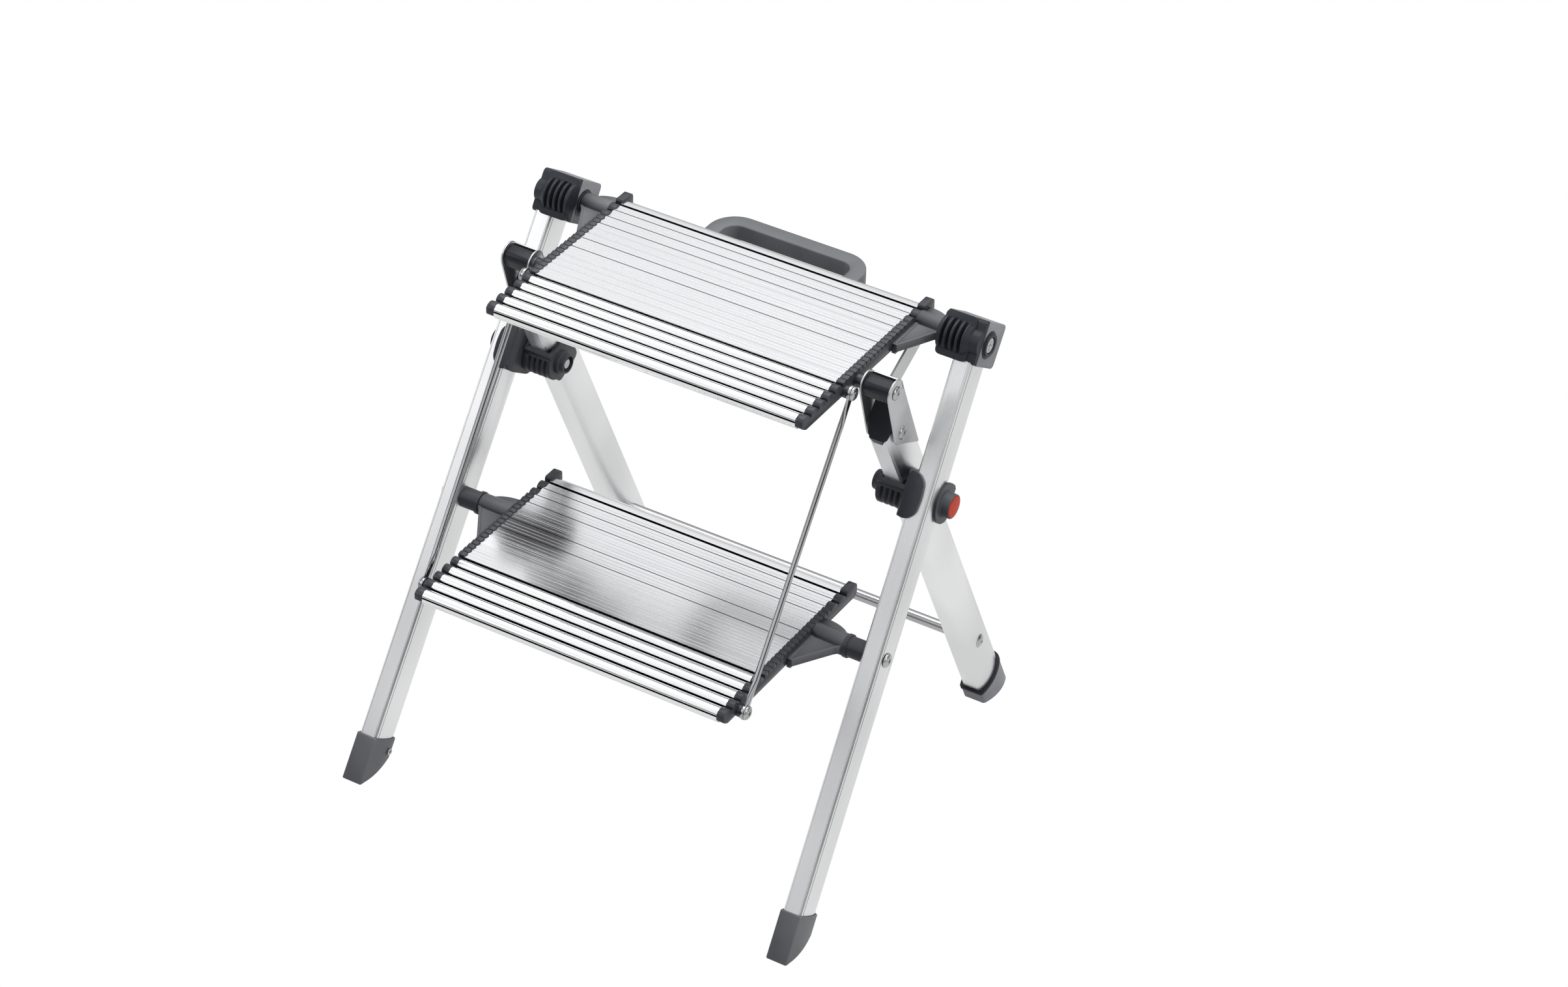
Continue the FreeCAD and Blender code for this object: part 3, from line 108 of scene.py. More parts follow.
# How far the pins reach in behind the end of the tread.
PIN_ROOT = TREAD_HALF - 5.5

# Points closer than this are one point, and faces that meet flatter than this are one face.
MERGE_DISTANCE = 0.01 * MM
FLAT_ANGLE = math.radians(0.6)

# How many sides turned pieces have: rivets, plain bars, wide bars and the knobs.
RIVET_SIDES, BAR_SIDES, WIDE_SIDES, KNOB_SIDES = 40, 48, 64, 72


# Settings that a user may change.

def length_setting(name, description, size, smallest, largest):
    return bpy.props.FloatProperty(
        name=name, description=description, unit="LENGTH",
        default=size * MM, min=smallest * MM, max=largest * MM)


def colour_setting(name, description, colour):
    return bpy.props.FloatVectorProperty(
        name=name, description=description, subtype="COLOR", size=3, min=0, max=1, default=colour)


def angle_setting(name, description, degrees):
    return bpy.props.FloatProperty(
        name=name, description=description, default=math.radians(degrees), subtype="ANGLE")


class StoolSizes(bpy.types.PropertyGroup):
    soft_edge: length_setting("Moulded Edge", "Rounding along the edges of moulded pieces", 0.9, 0.1, 2)
    metal_edge: length_setting("Metal Edge", "Rounding along the edges of the plate links", 0.3, 0.05, 1)
    bar_pitch: length_setting("Bar Pitch", "Distance between the bars of a tread", 12.3, 8, 13)
    groove_width: length_setting("Groove Width", "Width of the grooves between the round bars", 2.3, 0.5, 4)
    strut_radius: length_setting("Strut Radius", "Radius of the struts between the treads", 2.5, 1, 3.3)


class StoolColours(bpy.types.PropertyGroup):
    plastic: colour_setting(
        "Moulded Plastic", "Colour of the clamps, caps, saddles and brackets", (0.026, 0.028, 0.036))
    soft_plastic: colour_setting(
        "Foot Plastic", "Colour of the feet and the carrying loop", (0.072, 0.074, 0.082))
    # Painted light: the paler colour painted on plastic faces that are turned up or to the right, where the lamps
    # fall.
    lit: colour_setting(
        "Lit Plastic", "Colour of the plastics where they are rubbed pale", (0.34, 0.345, 0.36))
    tread: colour_setting("Tread Aluminium", "Colour of the ribbed treads", (0.86, 0.865, 0.87))
    rail: colour_setting("Leg Aluminium", "Colour of the tube legs", (0.86, 0.865, 0.87))
    plating: colour_setting("Plated Steel", "Colour of the struts and the crossbar", (0.44, 0.44, 0.45))
    plate: colour_setting("Link Steel", "Colour of the bent plate links", (0.58, 0.585, 0.59))
    disc: colour_setting("Pivot Disc", "Colour of the plain discs in the pivot knobs", (0.66, 0.036, 0.003))


class StoolStage(bpy.types.PropertyGroup):
    azimuth: angle_setting("Azimuth", "Direction of the camera, from the climbing side", 30.22)
    elevation: angle_setting("Elevation", "Height angle of the camera", 35.71)
    roll: angle_setting("Roll", "Tilt of the camera about its own line of sight", 1.77)
    distance: bpy.props.FloatProperty(
        name="Distance", description="From the camera to the point at the middle of the picture",
        default=3.7085, min=0.5, unit="LENGTH")
    lens: bpy.props.FloatProperty(
        name="Lens", description="Focal length in millimetres for a film 36 mm wide", default=102.18, min=10)
    aim: bpy.props.FloatVectorProperty(
        name="Aim", description="The point at the middle of the picture", subtype="TRANSLATION", size=3,
        default=(0.05579, 0.03984, 0.2523))
    floor_half: bpy.props.FloatProperty(
        name="Floor Reach", description="Half the width of the floor", default=6.0, min=1, unit="LENGTH")


# Outlines, in millimetres.

def fitted(shares, first, second):
    """An outline given as shares of two stretches. A stretch is its start and its end."""
    return [(first[0] + u * (first[1] - first[0]), second[0] + v * (second[1] - second[0]))
            for u, v in shares]


def rectangle(x0, x1, y0, y1):
    return [(x0, y0), (x1, y0), (x1, y1), (x0, y1)]


def arc(centre, radius, start, end, steps):
    """Points of an arc in degrees, the end points among them."""
    points = []
    for index in range(steps + 1):
        angle = math.radians(start + (end - start) * index / steps)
        points.append((centre[0] + radius * math.cos(angle), centre[1] + radius * math.sin(angle)))
    return points


def bent(start, pull, end, share):
    """The point this far along a curve between two places that is drawn towards a third."""
    return tuple((1 - share) ** 2 * a + 2 * share * (1 - share) * b + share ** 2 * c
                 for a, b, c in zip(start, pull, end))


def swept(start, pull, end, steps):
    """Points inside such a curve, without its two ends."""
    return [bent(start, pull, end, step / steps) for step in range(1, steps)]


def rounded_corners(corners, radius, steps=5):
    """The same outline with every corner replaced by a small curve."""
    longest_share = 0.45
    points = []
    for index, corner in enumerate(corners):
        here = Vector(corner)
        before = Vector(corners[index - 1]) - here
        after = Vector(corners[(index + 1) % len(corners)]) - here
        reach = min(radius, before.length * longest_share, after.length * longest_share)
        start = here + before.normalized() * reach
        end = here + after.normalized() * reach
        points += [bent(start, here, end, step / steps) for step in range(steps + 1)]
    return points


# Modelling steps that many pieces share. Places and sizes are given in millimetres.

def clear_selection():
    if bpy.context.object and bpy.context.object.mode != "OBJECT":
        bpy.ops.object.mode_set(mode="OBJECT")
    bpy.ops.object.select_all(action="DESELECT")


def pick(obj):
    clear_selection()
    obj.select_set(True)
    bpy.context.view_layer.objects.active = obj
    return obj


def named(name):
    obj = bpy.context.object
    obj.name = name
    obj.data.name = name
    return obj


def settle(obj):
    """Moves the object's place, turn and size into its mesh."""
    pick(obj)
    bpy.ops.object.transform_apply(location=True, rotation=True, scale=True)
    return obj


def line(name, corners):
    """Draws a line corner by corner, and leaves it selected in edit mode."""
    clear_selection()
    bpy.ops.mesh.primitive_plane_add(size=MM, location=corners[0])
    obj = named(name)
    bpy.ops.object.mode_set(mode="EDIT")
    bpy.ops.mesh.select_mode(type="VERT")
    bpy.ops.mesh.select_all(action="SELECT")
    bpy.ops.mesh.merge(type="CENTER")
    for before, after in zip(corners, corners[1:]):
        bpy.ops.mesh.extrude_region_move(TRANSFORM_OT_translate={"value": after - before})
    bpy.ops.mesh.select_all(action="SELECT")
    return obj


def closed_solid(obj):
    """Turns the faces of a new solid outward and leaves edit mode."""
    bpy.ops.mesh.normals_make_consistent(inside=False)
    bpy.ops.object.mode_set(mode="OBJECT")
    return settle(obj)


def drawn(name, corners, push, radius=0, steps=5):
    """An outline drawn corner by corner, filled, and pushed out. A radius rounds its corners first."""
    if radius:
        corners = rounded_corners(corners, radius, steps)
    obj = line(name, [Vector(corner) * MM for corner in corners])
    bpy.ops.mesh.edge_face_add()
    bpy.ops.mesh.extrude_region_move(TRANSFORM_OT_translate={"value": Vector(push) * MM})
    bpy.ops.mesh.select_all(action="SELECT")
    return closed_solid(obj)


def side_plate(name, outline, x0, x1, *rounding):
    """A plate whose outline is given as (y, z) pairs."""
    return drawn(name, [(x0, y, z) for y, z in outline], (x1 - x0, 0, 0), *rounding)


def flat_plate(name, outline, z0, z1, *rounding):
    """A plate whose outline is given as (x, y) pairs."""
    return drawn(name, [(x, y, z0) for x, y in outline], (0, 0, z1 - z0), *rounding)


def front_plate(name, outline, y0, y1, *rounding):
    """A plate that faces the climber, with its outline given as (x, z) pairs."""
    return drawn(name, [(x, y0, z) for x, z in outline], (0, y1 - y0, 0), *rounding)


def round_bar(name, x0, x1, centre, radius):
    """A round bar that lies across the stool."""
    clear_selection()
    bpy.ops.mesh.primitive_cylinder_add(
        vertices=BAR_SIDES, radius=radius * MM, depth=(x1 - x0) * MM,
        location=Vector(((x0 + x1) / 2, *centre)) * MM, rotation=(0, math.pi / 2, 0))
    return settle(named(name))


def spun_bar(name, stations, centre, sides=BAR_SIDES):
    """A turned piece that lies across the stool. Each station is (x, radius); cones join them."""
    y, z = centre
    outline = [(stations[0][0], 0), *stations, (stations[-1][0], 0)]
    corners = [Vector((x, y, z + radius)) * MM for x, radius in outline]
    obj = line(name, corners)
    bpy.ops.mesh.spin(steps=sides, angle=2 * math.pi, center=corners[0], axis=(1, 0, 0))
    bpy.ops.mesh.select_all(action="SELECT")
    bpy.ops.mesh.remove_doubles(threshold=MERGE_DISTANCE)
    return closed_solid(obj)


def turned(name, shares, x0, x1, radius, centre, sides=BAR_SIDES, shank=()):
    """A spun bar whose stations are shares of a stretch and of a radius, after those of its shank."""
    return spun_bar(name, [*shank, *fitted(shares, (x0, x1), (0, radius))], centre, sides)


def apply_modifier(obj, kind, **values):
    pick(obj)
    modifier = obj.modifiers.new(kind.title(), kind)
    for key, value in values.items():
        setattr(modifier, key, value)
    bpy.ops.object.modifier_apply(modifier=modifier.name)
    return obj


def combine(obj, operation, *others):
    """Adds other solids, cuts them away or keeps only what they cover, and uses them up."""
    for other in others:
        apply_modifier(obj, "BOOLEAN", operation=operation, object=other, solver="EXACT")
        bpy.data.objects.remove(other)
    return obj


def joined(name, *pieces):
    pick(pieces[0])
    for piece in pieces[1:]:
        piece.select_set(True)
    bpy.ops.object.join()
    return named(name)


def merged(obj, distance, angle):
    """Makes one point of points that are close, and one face of faces that lie flat beside each other."""
    pick(obj)
    bpy.ops.object.mode_set(mode="EDIT")
    bpy.ops.mesh.select_all(action="SELECT")
    bpy.ops.mesh.remove_doubles(threshold=distance)
    bpy.ops.mesh.dissolve_limited(angle_limit=angle)
    bpy.ops.object.mode_set(mode="OBJECT")
    return obj


def softened(obj, width, segments=2, angle=32):
    """Rounds the edges sharper than an angle in degrees, and shades what is round smoothly."""
    merged(obj, MERGE_DISTANCE, FLAT_ANGLE)
    if width > 0:
        apply_modifier(obj, "BEVEL", width=width, segments=segments, limit_method="ANGLE",
                       angle_limit=math.radians(angle), use_clamp_overlap=True, miter_outer="MITER_ARC")
    pick(obj)
    bpy.ops.object.shade_smooth_by_angle(angle=math.radians(angle + 4))
    return obj


def mirror_copy(obj, name):
    """A copy with its own mesh on the other side of the stool."""
    pick(obj)
    bpy.ops.object.duplicate(linked=False)
    copy = named(name)
    bpy.ops.object.mode_set(mode="EDIT")
    bpy.ops.mesh.select_all(action="SELECT")
    bpy.ops.transform.resize(value=(-1, 1, 1), center_override=(0, 0, 0))
    bpy.ops.mesh.remove_doubles(threshold=MERGE_DISTANCE / 10)
    bpy.ops.mesh.normals_make_consistent(inside=False)
    bpy.ops.object.mode_set(mode="OBJECT")
    return copy


def front_x(z):
    """The middle of the front leg at a height."""
    return FRONT_X + FRONT_SPLAY_SHARE * (TOP_HINGE[1] - z)


def rear_x(z):
    """The middle of the rear leg at a height."""
    return REAR_X + REAR_SPLAY_SHARE * (CROSSING[1] - z)


def leg_matrix(x, y, z, slope, splay):
    """Local X is across the leg, local Y is depth behind its front face, local Z runs up the leg."""
    angle = math.radians(slope)
    depth = Vector((0, math.sin(angle), -math.cos(angle)))
    up = Vector((-splay * math.sin(angle), math.cos(angle), math.sin(angle))).normalized()
    across = depth.cross(up).normalized()
    matrix = Matrix((across, depth, up)).transposed().to_4x4()
    matrix.translation = Vector((x, y, z)) * MM
    return matrix


def bar_matrix(x, foot, top):
    """The same for a bar that stands between two pivots."""
    return leg_matrix(x, *foot, math.degrees(math.atan2(top[1] - foot[1], top[0] - foot[0])), 0)


def placed(obj, matrix):
    obj.matrix_world = matrix @ obj.matrix_world
    return settle(obj)


def dress(obj, body, slot, finish, *nodes):
    """Gives a piece its finish and its body, and hides the frame pieces it stands for."""
    obj.data.materials.clear()
    obj.data.materials.append(finishes[finish])
    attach(obj, body)
    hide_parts(*nodes)


def dress_pair(right, name, body, slot, finish):
    """Mirrors the right-hand piece and dresses both. In the body's name, {} stands for the side."""
    left = mirror_copy(right, name + "_left_shape")
    right.name = name + "_right_shape"
    dress(right, body.format("right"), slot, finish, name + "_right")
    dress(left, body.format("left"), slot, finish, name + "_left")


def dress_group(right, name, body, finish):
    """Mirrors a right-hand piece of steel, joins both and dresses them as one."""
    left = mirror_copy(right, name + "_left_half")
    dress(joined(name + "_shape", right, left), body, "rivet_steel", finish, name)


# Finishes. All of them read Object coordinates.

# How deep the grain of each surface is, in millimetres.
BRUSHED_GRAIN, TREAD_GRAIN, PLATING_GRAIN, PLATE_GRAIN = 0.0012, 0.0004, 0.0005, 0.006
MOULDED_GRAIN, DISC_GRAIN = 0.02, 0.004


def add_node(tree, kind, inputs, **settings):
    """A shader node. Each of its inputs gets a value, or the output of another node."""
    node = tree.nodes.new("ShaderNode" + kind)
    for key, value in settings.items():
        setattr(node, key, value)
    for socket, value in inputs.items():
        if isinstance(value, bpy.types.NodeSocket):
            tree.links.new(value, node.inputs[socket])
        else:
            node.inputs[socket].default_value = value
    return node


def new_finish(name, colour, metallic, roughness):
    material = bpy.data.materials.new(name)
    material.use_nodes = True
    tree = material.node_tree
    shader = tree.nodes["Principled BSDF"]
    shader.inputs["Base Color"].default_value = (*colour, 1)
    shader.inputs["Metallic"].default_value = metallic
    shader.inputs["Roughness"].default_value = roughness
    return material, tree, shader


def place_in(tree):
    return add_node(tree, "TexCoord", {}).outputs["Object"]


def part_of_place(tree, axis):
    return add_node(tree, "SeparateXYZ", {"Vector": place_in(tree)}).outputs[axis]


def pattern(tree, scale, turn=(0, 0, 0), detail=3, roughness=0.5):
    """A noise that is stretched by a scale along each axis, after the pattern is turned."""
    turned = add_node(tree, "Mapping", {"Vector": place_in(tree), "Rotation": turn})
    stretched = add_node(tree, "Mapping", {"Vector": turned.outputs["Vector"], "Scale": scale})
    noise = add_node(tree, "TexNoise", {
        "Vector": stretched.outputs["Vector"], "Scale": 1, "Detail": detail, "Roughness": roughness})
    return noise.outputs["Fac"]


def grain(tree, scale, **shape):
    """A noise that is as fine along every axis."""
    return pattern(tree, (scale, scale, scale), **shape)


def spread(tree, value, low, high, source_low=0.3, source_high=0.7):
    """Turns a noise into values between low and high."""
    return add_node(tree, "MapRange", {
        "Value": value, "From Min": source_low, "From Max": source_high, "To Min": low, "To Max": high,
    }).outputs["Result"]


def step_at(tree, value, level, soft, before=0, after=1):
    """Turns from one value into another at a level, softly. Level and softness are in millimetres."""
    return spread(tree, value, before, after, (level - soft) * MM, (level + soft) * MM)


def product(tree, *factors):
    total = factors[0]
    for factor in factors[1:]:
        total = add_node(tree, "Math", {0: total, 1: factor}, operation="MULTIPLY").outputs["Value"]
    return total


def tint(tree, shader, value, dark, light):
    """Lets the colour run between a dark and a light shade of itself."""
    ramp = add_node(tree, "ValToRGB", {"Fac": value})
    colour = shader.inputs["Base Color"].default_value[:3]
    for element, position, shade in zip(ramp.color_ramp.elements, (0.3, 0.7), (dark, light)):
        element.position = position
        element.color = (*[min(1, channel * shade) for channel in colour], 1)
    tree.links.new(ramp.outputs["Color"], shader.inputs["Base Color"])


def relief(tree, shader, value, depth, strength):
    """Raises the surface by up to this many millimetres."""
    bump = add_node(tree, "Bump", {"Height": value, "Distance": depth * MM, "Strength": strength})
    tree.links.new(bump.outputs["Normal"], shader.inputs["Normal"])


def roughen(tree, shader, value, low, high):
    tree.links.new(spread(tree, value, low, high), shader.inputs["Roughness"])


def overlay(tree, shader, share, colour):
    """Covers the colour so far with another one, as far as the share says."""
    below = shader.inputs["Base Color"].links[0].from_socket
    cover = add_node(tree, "Mix", {0: share, 6: below, 7: (*colour, 1)}, data_type="RGBA")
    tree.links.new(cover.outputs[2], shader.inputs["Base Color"])


def shaded(colour, shade):
    return [channel * shade for channel in colour]


def past_plane(tree, direction, point, distance):
    """One beyond a plane square to a (y, z) direction, this far from the point, and nothing before it."""
    along = add_node(tree, "VectorMath", {0: place_in(tree), 1: (0, *direction)}, operation="DOT_PRODUCT")
    level = direction[0] * point[0] + direction[1] * point[1] + distance
    soft = 0.15
    return step_at(tree, along.outputs["Value"], level, soft)


def beyond(tree, centre, radius):
    """Nothing within a radius of an axis across the stool, and one outside it."""
    flat = add_node(tree, "VectorMath", {
        0: place_in(tree), 1: (0, 1, 1), 2: (0, -centre[0] * MM, -centre[1] * MM)}, operation="MULTIPLY_ADD")
    away = add_node(tree, "VectorMath", {0: flat.outputs["Vector"]}, operation="LENGTH")
    soft = 0.3
    return step_at(tree, away.outputs["Value"], radius, soft)


def painted_light_faces(tree, share):
    """How much painted light a face gets: the share on faces that are turned up or to the right, fading out on the
    front and underneath.
    """
    # The direction that the painted light comes from.
    lit_side = (0.8, 0.1, 0.6)
    normal = add_node(tree, "TexCoord", {}).outputs["Normal"]
    facing = add_node(tree, "VectorMath", {0: normal, 1: lit_side}, operation="DOT_PRODUCT")
    return spread(tree, facing.outputs["Value"], 0, share, 0.15, 0.9)


def across_leg(slope):
    """The direction from a leg's front face to its back, as (y, z)."""
    return math.sin(math.radians(slope)), -math.cos(math.radians(slope))


def up_leg(slope):
    return math.cos(math.radians(slope)), math.sin(math.radians(slope))


def brushed_aluminium(name, colour, roughness, slope):
    """Fine drawn lines along the piece. Slope is how far the piece leans from level, in degrees."""
    material, tree, shader = new_finish(name, colour, 1.0, roughness)
    lines = pattern(tree, (1900, 4, 1900), (-math.radians(slope), 0, 0), detail=2)
    tint(tree, shader, pattern(tree, (26, 9, 9), detail=1), 0.86, 1.03)
    roughen(tree, shader, lines, roughness - 0.03, roughness + 0.04)
    relief(tree, shader, lines, BRUSHED_GRAIN, 0.35)
    return material


def tread_aluminium(name, colour, tread):
    """Bright drawn aluminium whose narrow grooves are painted dark as shade."""
    material, tree, shader = new_finish(name, colour, 1.0, 0.2)
    lines = pattern(tree, (3, 2200, 2200), detail=2)
    tint(tree, shader, pattern(tree, (5, 14, 14), detail=4), 0.97, 1.01)
    crest, front = TREAD_CRESTS[tread], TREAD_FRONTS[tread]
    height = part_of_place(tree, "Z")
    nose, rear_edge, sill, soft = 1.2, 1.0, 0.15, 0.25
    # Painted shade: the grooves are darkened from their floors up to a set depth below the crests, behind the nose
    # and no further back than the rear groove.
    grooves = product(
        tree,
        step_at(tree, height, crest - GROOVE_DEPTH - sill, soft),
        step_at(tree, height, crest - PAINTED_SHADE_DROP, soft, 1, 0),
        past_plane(tree, (-1, 0), (front + TREAD_DEPTH * REAR_GROOVE_SHARES[1], 0), -rear_edge),
        past_plane(tree, (1, 0), (front, 0), nose))
    # The colour of the painted groove shade.
    painted_shade = (0.012, 0.012, 0.014)
    overlay(tree, shader, grooves, painted_shade)
    roughen(tree, shader, lines, 0.17, 0.2)
    relief(tree, shader, lines, TREAD_GRAIN, 0.1)
    return material


def moulded_plastic(name, colour, roughness, lit=(0, 0, 0), share=0.0, sheen=0.22, masks=()):
    """A fine spark grain with slightly shinier patches, and painted light that makes faces turned up or to the
    right paler.
    """
    material, tree, shader = new_finish(name, colour, 0.0, roughness)
    shader.inputs["Specular IOR Level"].default_value = sheen
    patches = grain(tree, 38, detail=4)
    tint(tree, shader, patches, 0.88, 1.14)
    if share > 0:
        limits = [mask(tree, *values) for mask, *values in masks]
        # Painted light on the faces turned up or to the right, within the masks.
        overlay(tree, shader, product(tree, painted_light_faces(tree, share), *limits), lit)
    roughen(tree, shader, patches, roughness + 0.05, roughness - 0.07)
    relief(tree, shader, grain(tree, 1800, detail=2), MOULDED_GRAIN, 0.5)
    return material


def lipped_plastic(name, colour, lit, lip):
    """The plastic of the rear feet, with the black lip that runs round the leg."""
    # The rear feet get painted light on their upper and right-hand faces, at a share of 0.8.
    material = moulded_plastic(name, colour, 0.5, lit, 0.8)
    tree = material.node_tree
    lip_place = -330.2
    above = past_plane(tree, up_leg(REAR_SLOPE), REAR_LINE, lip_place)
    overlay(tree, tree.nodes["Principled BSDF"], above, lip)
    return material


def plated_steel(colour):
    material, tree, shader = new_finish("bright_plated_steel", colour, 1.0, 0.14)
    drift = grain(tree, 30, detail=2)
    tint(tree, shader, drift, 0.94, 1.04)
    roughen(tree, shader, drift, 0.1, 0.16)
    relief(tree, shader, grain(tree, 400, detail=1), PLATING_GRAIN, 0.2)
    return material


def satin_plate(name, colour, roughness):
    """Pressed steel plate, zinc plated, with a faint cloudy grain."""
    material, tree, shader = new_finish(name, colour, 1.0, roughness)
    fine = grain(tree, 1500, detail=2)
    tint(tree, shader, grain(tree, 45, detail=5, roughness=0.6), 0.92, 1.04)
    roughen(tree, shader, fine, roughness - 0.07, roughness + 0.08)
    relief(tree, shader, fine, PLATE_GRAIN, 0.5)
    return material


def collared_steel(colour, dark):
    """Rivet steel whose spacers, nearer to the middle than the struts, are black plastic."""
    material = satin_plate("collared_rivet_steel", colour, 0.28)
    tree = material.node_tree
    shader = tree.nodes["Principled BSDF"]
    across = add_node(tree, "Math", {0: part_of_place(tree, "X")}, operation="ABSOLUTE").outputs["Value"]
    reach, soft = STRUT_X + 1.7, 0.1
    overlay(tree, shader, step_at(tree, across, reach, soft, 1, 0), dark)
    tree.links.new(step_at(tree, across, reach, soft), shader.inputs["Metallic"])
    return material


def disc_plastic(colour):
    material, tree, shader = new_finish("plain_disc_plastic", colour, 0.0, 0.28)
    patches = grain(tree, 80)
    tint(tree, shader, patches, 0.92, 1.06)
    roughen(tree, shader, patches, 0.22, 0.34)
    relief(tree, shader, grain(tree, 1200, detail=2), DISC_GRAIN, 0.4)
    shader.inputs["Specular IOR Level"].default_value = 0.12
    return material


finishes = {}


class MakeFinishes(bpy.types.Operator):
    """Makes the metals and plastics of the stool and gives them to the pieces of the frame"""
    bl_idname = "stool.make_finishes"
    bl_label = "Finishes"

    def execute(self, context):
        colours = context.scene.stool_colours
        dark, soft, pale = colours.plastic, colours.soft_plastic, colours.lit
        # On the clamps the painted light is kept off a ring round the top hinge and off the part more than this
        # far in front of it.
        clear_ring = 12.0
        clamp_masks = ((beyond, TOP_HINGE, clear_ring),
                       (past_plane, across_leg(FRONT_SLOPE), TOP_HINGE, -clear_ring))
        # After the paler colour, moulded_plastic takes the share of painted light on faces turned up or to the
        # right.
        finishes.update({
            "front_rail": brushed_aluminium("front_leg_aluminium", colours.rail, 0.30, FRONT_SLOPE),
            "rear_rail": brushed_aluminium("rear_leg_aluminium", colours.rail, 0.32, REAR_SLOPE),
            "top_tread": tread_aluminium("top_tread_aluminium", colours.tread, "top_tread"),
            "lower_tread": tread_aluminium("lower_tread_aluminium", colours.tread, "lower_tread"),
            "grey_plastic": moulded_plastic("slate_moulded_plastic", dark, 0.42, pale, 0.26),
            "clamp": moulded_plastic("clamp_moulded_plastic", dark, 0.42, pale, 1.0, masks=clamp_masks),
            "bracket": moulded_plastic("bracket_moulded_plastic", dark, 0.42, pale, 0.55),
            "cap": moulded_plastic("cap_moulded_plastic", dark, 0.3, pale, 0.1, 0.3),
            "foot": moulded_plastic("foot_moulded_plastic", soft, 0.5, pale, 0.4, 0.4),
            "rear_foot": lipped_plastic(
                "rear_foot_moulded_plastic", shaded(soft, 3), pale, shaded(dark, 0.5)),
            "stopper": moulded_plastic("dark_stopper_plastic", shaded(dark, 0.6), 0.3),
            "red_plastic": disc_plastic(colours.disc),
            "plated_steel": plated_steel(colours.plating),
            "link_steel": satin_plate("satin_link_steel", colours.plate, 0.36),
            "rivet_steel": satin_plate("rivet_steel_bright", shaded(colours.plate, 0.85), 0.28),
            "collared_steel": collared_steel(shaded(colours.plate, 0.85), dark),
        })
        slots = {part["node"]: part["material_slot"] for part in frame["record"]["subparts"]}
        for name, node in frame["nodes"].items():
            finish = slots[name]
            if finish == "silver_aluminium":
                finish = "front_rail" if name.startswith("front") else "rear_rail"
            if finish == "tread_aluminium":
                finish = name
            node.data.materials.clear()
            node.data.materials.append(finishes[finish])
        return {"FINISHED"}


# Treads. Both are cut from one extrusion, and depths are measured down from the crests of its bars.

ROUND_BARS = 5
GROOVE_DEPTH = 6.2
# Depth below the crests at which the painted groove shade begins.
PAINTED_SHADE_DROP = 2.85
FLAT_DROP = 1.1

# Places behind the front edge, as shares of the depth of the tread.
STRONG_LINE_SHARES = (0.5453, 0.619, 0.7481, 0.8073, 0.8622)
FAINT_LINE_SHARES = (0.3555, 0.3993, 0.4388, 0.4764, 0.6623, 0.7066)
REAR_GROOVE_SHARES = (0.9008, 0.9143)
REAR_FALL_SHARE = 0.9489


def bar_top(start, end, crest, drop, steps=10):
    """A round-topped bar: the arc through both shoulders and the crest."""
    half = (end - start) / 2
    radius = (half * half + drop * drop) / (2 * drop)
    reach = math.degrees(math.asin(half / radius))
    return arc(((start + end) / 2, crest - radius), radius, 90 + reach, 90 - reach, steps)


def flat_lines(start, end):
    """The lines in the flat part, as (place, half width, depth): strong, faint, and fine between them."""
    pitch, clearance = 3.9, 1.5
    strong, faint, fine = (0.45, 2.6), (0.3, 0.45), (0.22, 0.2)
    lines = [(TREAD_DEPTH * share, *strong) for share in STRONG_LINE_SHARES]
    lines += [(TREAD_DEPTH * share, *faint) for share in FAINT_LINE_SHARES]
    taken = [mark[0] for mark in lines]
    for index in range(1, int((end - start) / pitch)):
        place = start + index * pitch
        if min(abs(place - other) for other in taken) > clearance:
            lines.append((place, *fine))
    return sorted(lines)


def round_bars(front, crest, pitch, groove):
    """The top line of the round bars, each with a thin line along its crest and a deep groove behind it."""
    shoulder_drop, line_half, line_depth, last_share = 3.4, 0.3, 0.6, 0.1
    floor = crest - GROOVE_DEPTH
    points = []
    for index in range(ROUND_BARS):
        start = front + index * pitch + (groove / 2 if index else 0)
        end = front + (index + 1) * pitch
        top = bar_top(start, end - groove / 2, crest, shoulder_drop)
        middle_index = len(top) // 2
        ridge, height = top[middle_index]
        top[middle_index:middle_index + 1] = [
            (ridge - line_half, height), (ridge, height - line_depth), (ridge + line_half, height)]
        next_share = last_share if index == ROUND_BARS - 1 else 0.5
        points += top + [(end - groove / 2, floor), (end + groove * next_share, floor)]
    return points


def tread_profile(front, rear, crest, pitch, groove):
    """Top line of a tread: round bars, a flat part with thin lines, a groove, and the rear rail."""
    floor_share, edge_round, edge_drop, rail_drop = 0.6, 1.0, 0.3, 9.4
    points = round_bars(front, crest, pitch, groove)
    level = crest - FLAT_DROP
    points.append((points[-1][0], level))
    groove_start, groove_end = [front + TREAD_DEPTH * share for share in REAR_GROOVE_SHARES]
    for place, half, depth in flat_lines(ROUND_BARS * pitch, groove_start - front):
        ridge = front + place
        points += [(ridge - half, level), (ridge - half * floor_share, level - depth),
                   (ridge + half * floor_share, level - depth), (ridge + half, level)]
    floor = crest - GROOVE_DEPTH
    points += [(groove_start, level), (groove_start, floor), (groove_end, floor), (groove_end, level)]
    fall = front + TREAD_DEPTH * REAR_FALL_SHARE
    return points + [(fall - edge_round, level), (fall, level - edge_drop), (rear, crest - rail_drop)]


